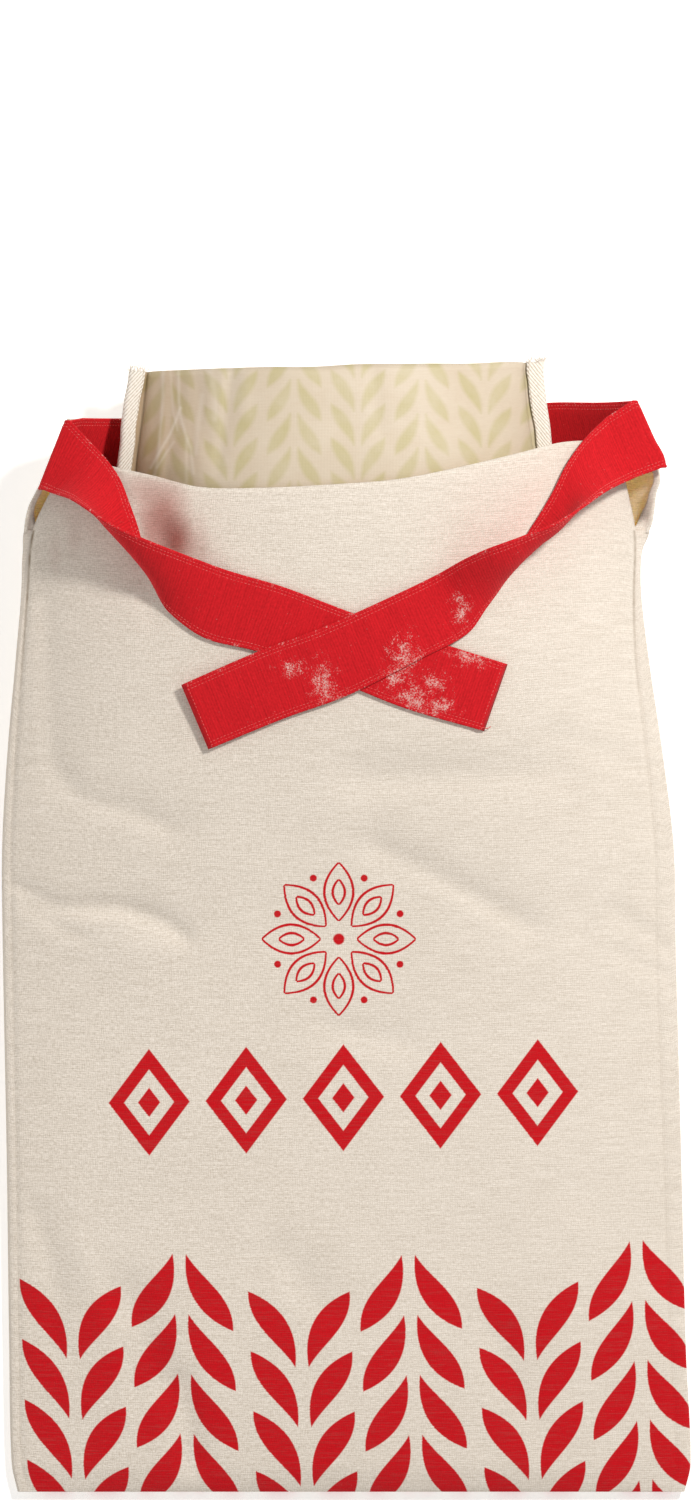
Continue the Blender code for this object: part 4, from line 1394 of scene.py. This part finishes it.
pieces = {
    "bag": linenBag(linen),
    "leftHem": slitHem("slitHemLeft", -1, linen),
    "rightHem": slitHem("slitHemRight", 1, linen),
    "liner": waxedLiner(),
    "tie": tieTape(),
    "tieSewing": tieStitches(redThread),
    "tieThread": tieLooseThread(redThread),
    "leftTape": seamTape("bindingLeft", -1, herringbone),
    "rightTape": seamTape("bindingRight", 1, herringbone),
    "leftSewing": tapeStitches("bindingLeftStitches", -1, herringbone),
    "rightSewing": tapeStitches("bindingRightStitches", 1, herringbone),
    "leftFray": tapeFray("bindingLeftFray", -1, whiteThread),
    "rightFray": tapeFray("bindingRightFray", 1, whiteThread),
}
for piece in pieces.values():
    toFrame(piece)
    settle(piece)
print("pieces made:", {name: len(piece.data.polygons) for name, piece in pieces.items()})

# node, slot, flat size, how it is held, what it rests on, and the pieces sewn to it
dress = {
    "bag": ("linen_bag", "linen", (0.29, 0.90), "laid", (), ("leftHem", "rightHem")),
    "liner": ("waxed_liner", "waxed_cloth", (0.24, 0.75), "laid", ("linen_bag",), ()),
    "tie": ("tie", "red_tape", (0.029, 0.74), "folded", ("linen_bag",), ("tieSewing", "tieThread")),
    "leftTape": (
        "binding_left", "binding_tape", (0.018, 0.37), "folded", ("waxed_liner",),
        ("leftSewing", "leftFray"),
    ),
    "rightTape": (
        "binding_right", "binding_tape", (0.018, 0.37), "folded", ("waxed_liner",),
        ("rightSewing", "rightFray"),
    ),
}
for name, (node, slotName, flat, held, restsOn, sewnOn) in dress.items():
    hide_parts(node)
print("sheets declared:", sorted(dress))


studio = {
    "floor": {
        "name": "pale floor", "surface": (0.9,), "scale": 3, "mix": (0.3, 0.7, 0, 0.1),
        "cloth": (0.93, 0.925, 0.915), "shade": (0.88, 0.87, 0.85),
    },
    "floorGlow": 0.42,
    "floorHalf": 2.5,
    "sky": (1, 0.98, 0.955),
    "skyStrength": 0.475,
    "keyPlace": (0.6, 0.66, 1.27),
    "keySize": 0.17,
    "keyPower": 17.9,
    "keyColour": (1, 0.975, 0.94),
    "fillPlace": (-0.62, -0.04, 0.52),
    "fillSize": 0.6,
    "fillPower": 0.62,
    "fillColour": (1, 0.985, 0.96),
    "aim": (0, 0.05, 0.02),
    "cameraHeight": 2.5,
    "viewLength": 0.63,
    "viewCentre": (-0.0005, 0.07655),
}


def paleFloor():
    mat, shader = speckled(studio["floor"], "Emission Color")
    feed(shader, {"Emission Strength": studio["floorGlow"]})
    mesh = bpy.data.meshes.new("floor")
    mesh.materials.append(mat)
    floor = bpy.data.objects.new("floor", mesh)
    size = studio["floorHalf"]
    editMesh(floor, lambda work: bmesh.ops.create_grid(work, x_segments=1, y_segments=1, size=size))
    bpy.context.scene.collection.objects.link(floor)


def roundLight(which):
    data = bpy.data.lights.new(which + " light", "AREA")
    data.shape = "DISK"
    data.size = studio[which + "Size"]
    data.energy = studio[which + "Power"]
    data.color = studio[which + "Colour"]
    lamp = bpy.data.objects.new(which + " light", data)
    lamp.location = studio[which + "Place"]
    aim = Vector(studio["aim"]) - lamp.location
    lamp.rotation_euler = aim.to_track_quat("-Z", "Y").to_euler()
    bpy.context.scene.collection.objects.link(lamp)


def softSky():
    world = bpy.data.worlds.new("soft sky")
    world.use_nodes = True
    background = world.node_tree.nodes["Background"]
    feed(background, {"Color": studio["sky"], "Strength": studio["skyStrength"]})
    bpy.context.scene.world = world
    bpy.context.scene.view_settings.view_transform = "Standard"


def cameraAbove():
    data = bpy.data.cameras.new("camera")
    data.sensor_fit = "VERTICAL"
    data.sensor_height = 24.0
    data.lens = data.sensor_height * studio["cameraHeight"] / studio["viewLength"]
    data.clip_end = 20
    camera = bpy.data.objects.new("camera", data)
    camera.location = (*studio["viewCentre"], studio["cameraHeight"])
    bpy.context.scene.collection.objects.link(camera)
    bpy.context.scene.camera = camera


paleFloor()
roundLight("key")
roundLight("fill")
softSky()
cameraAbove()
print("stage set")
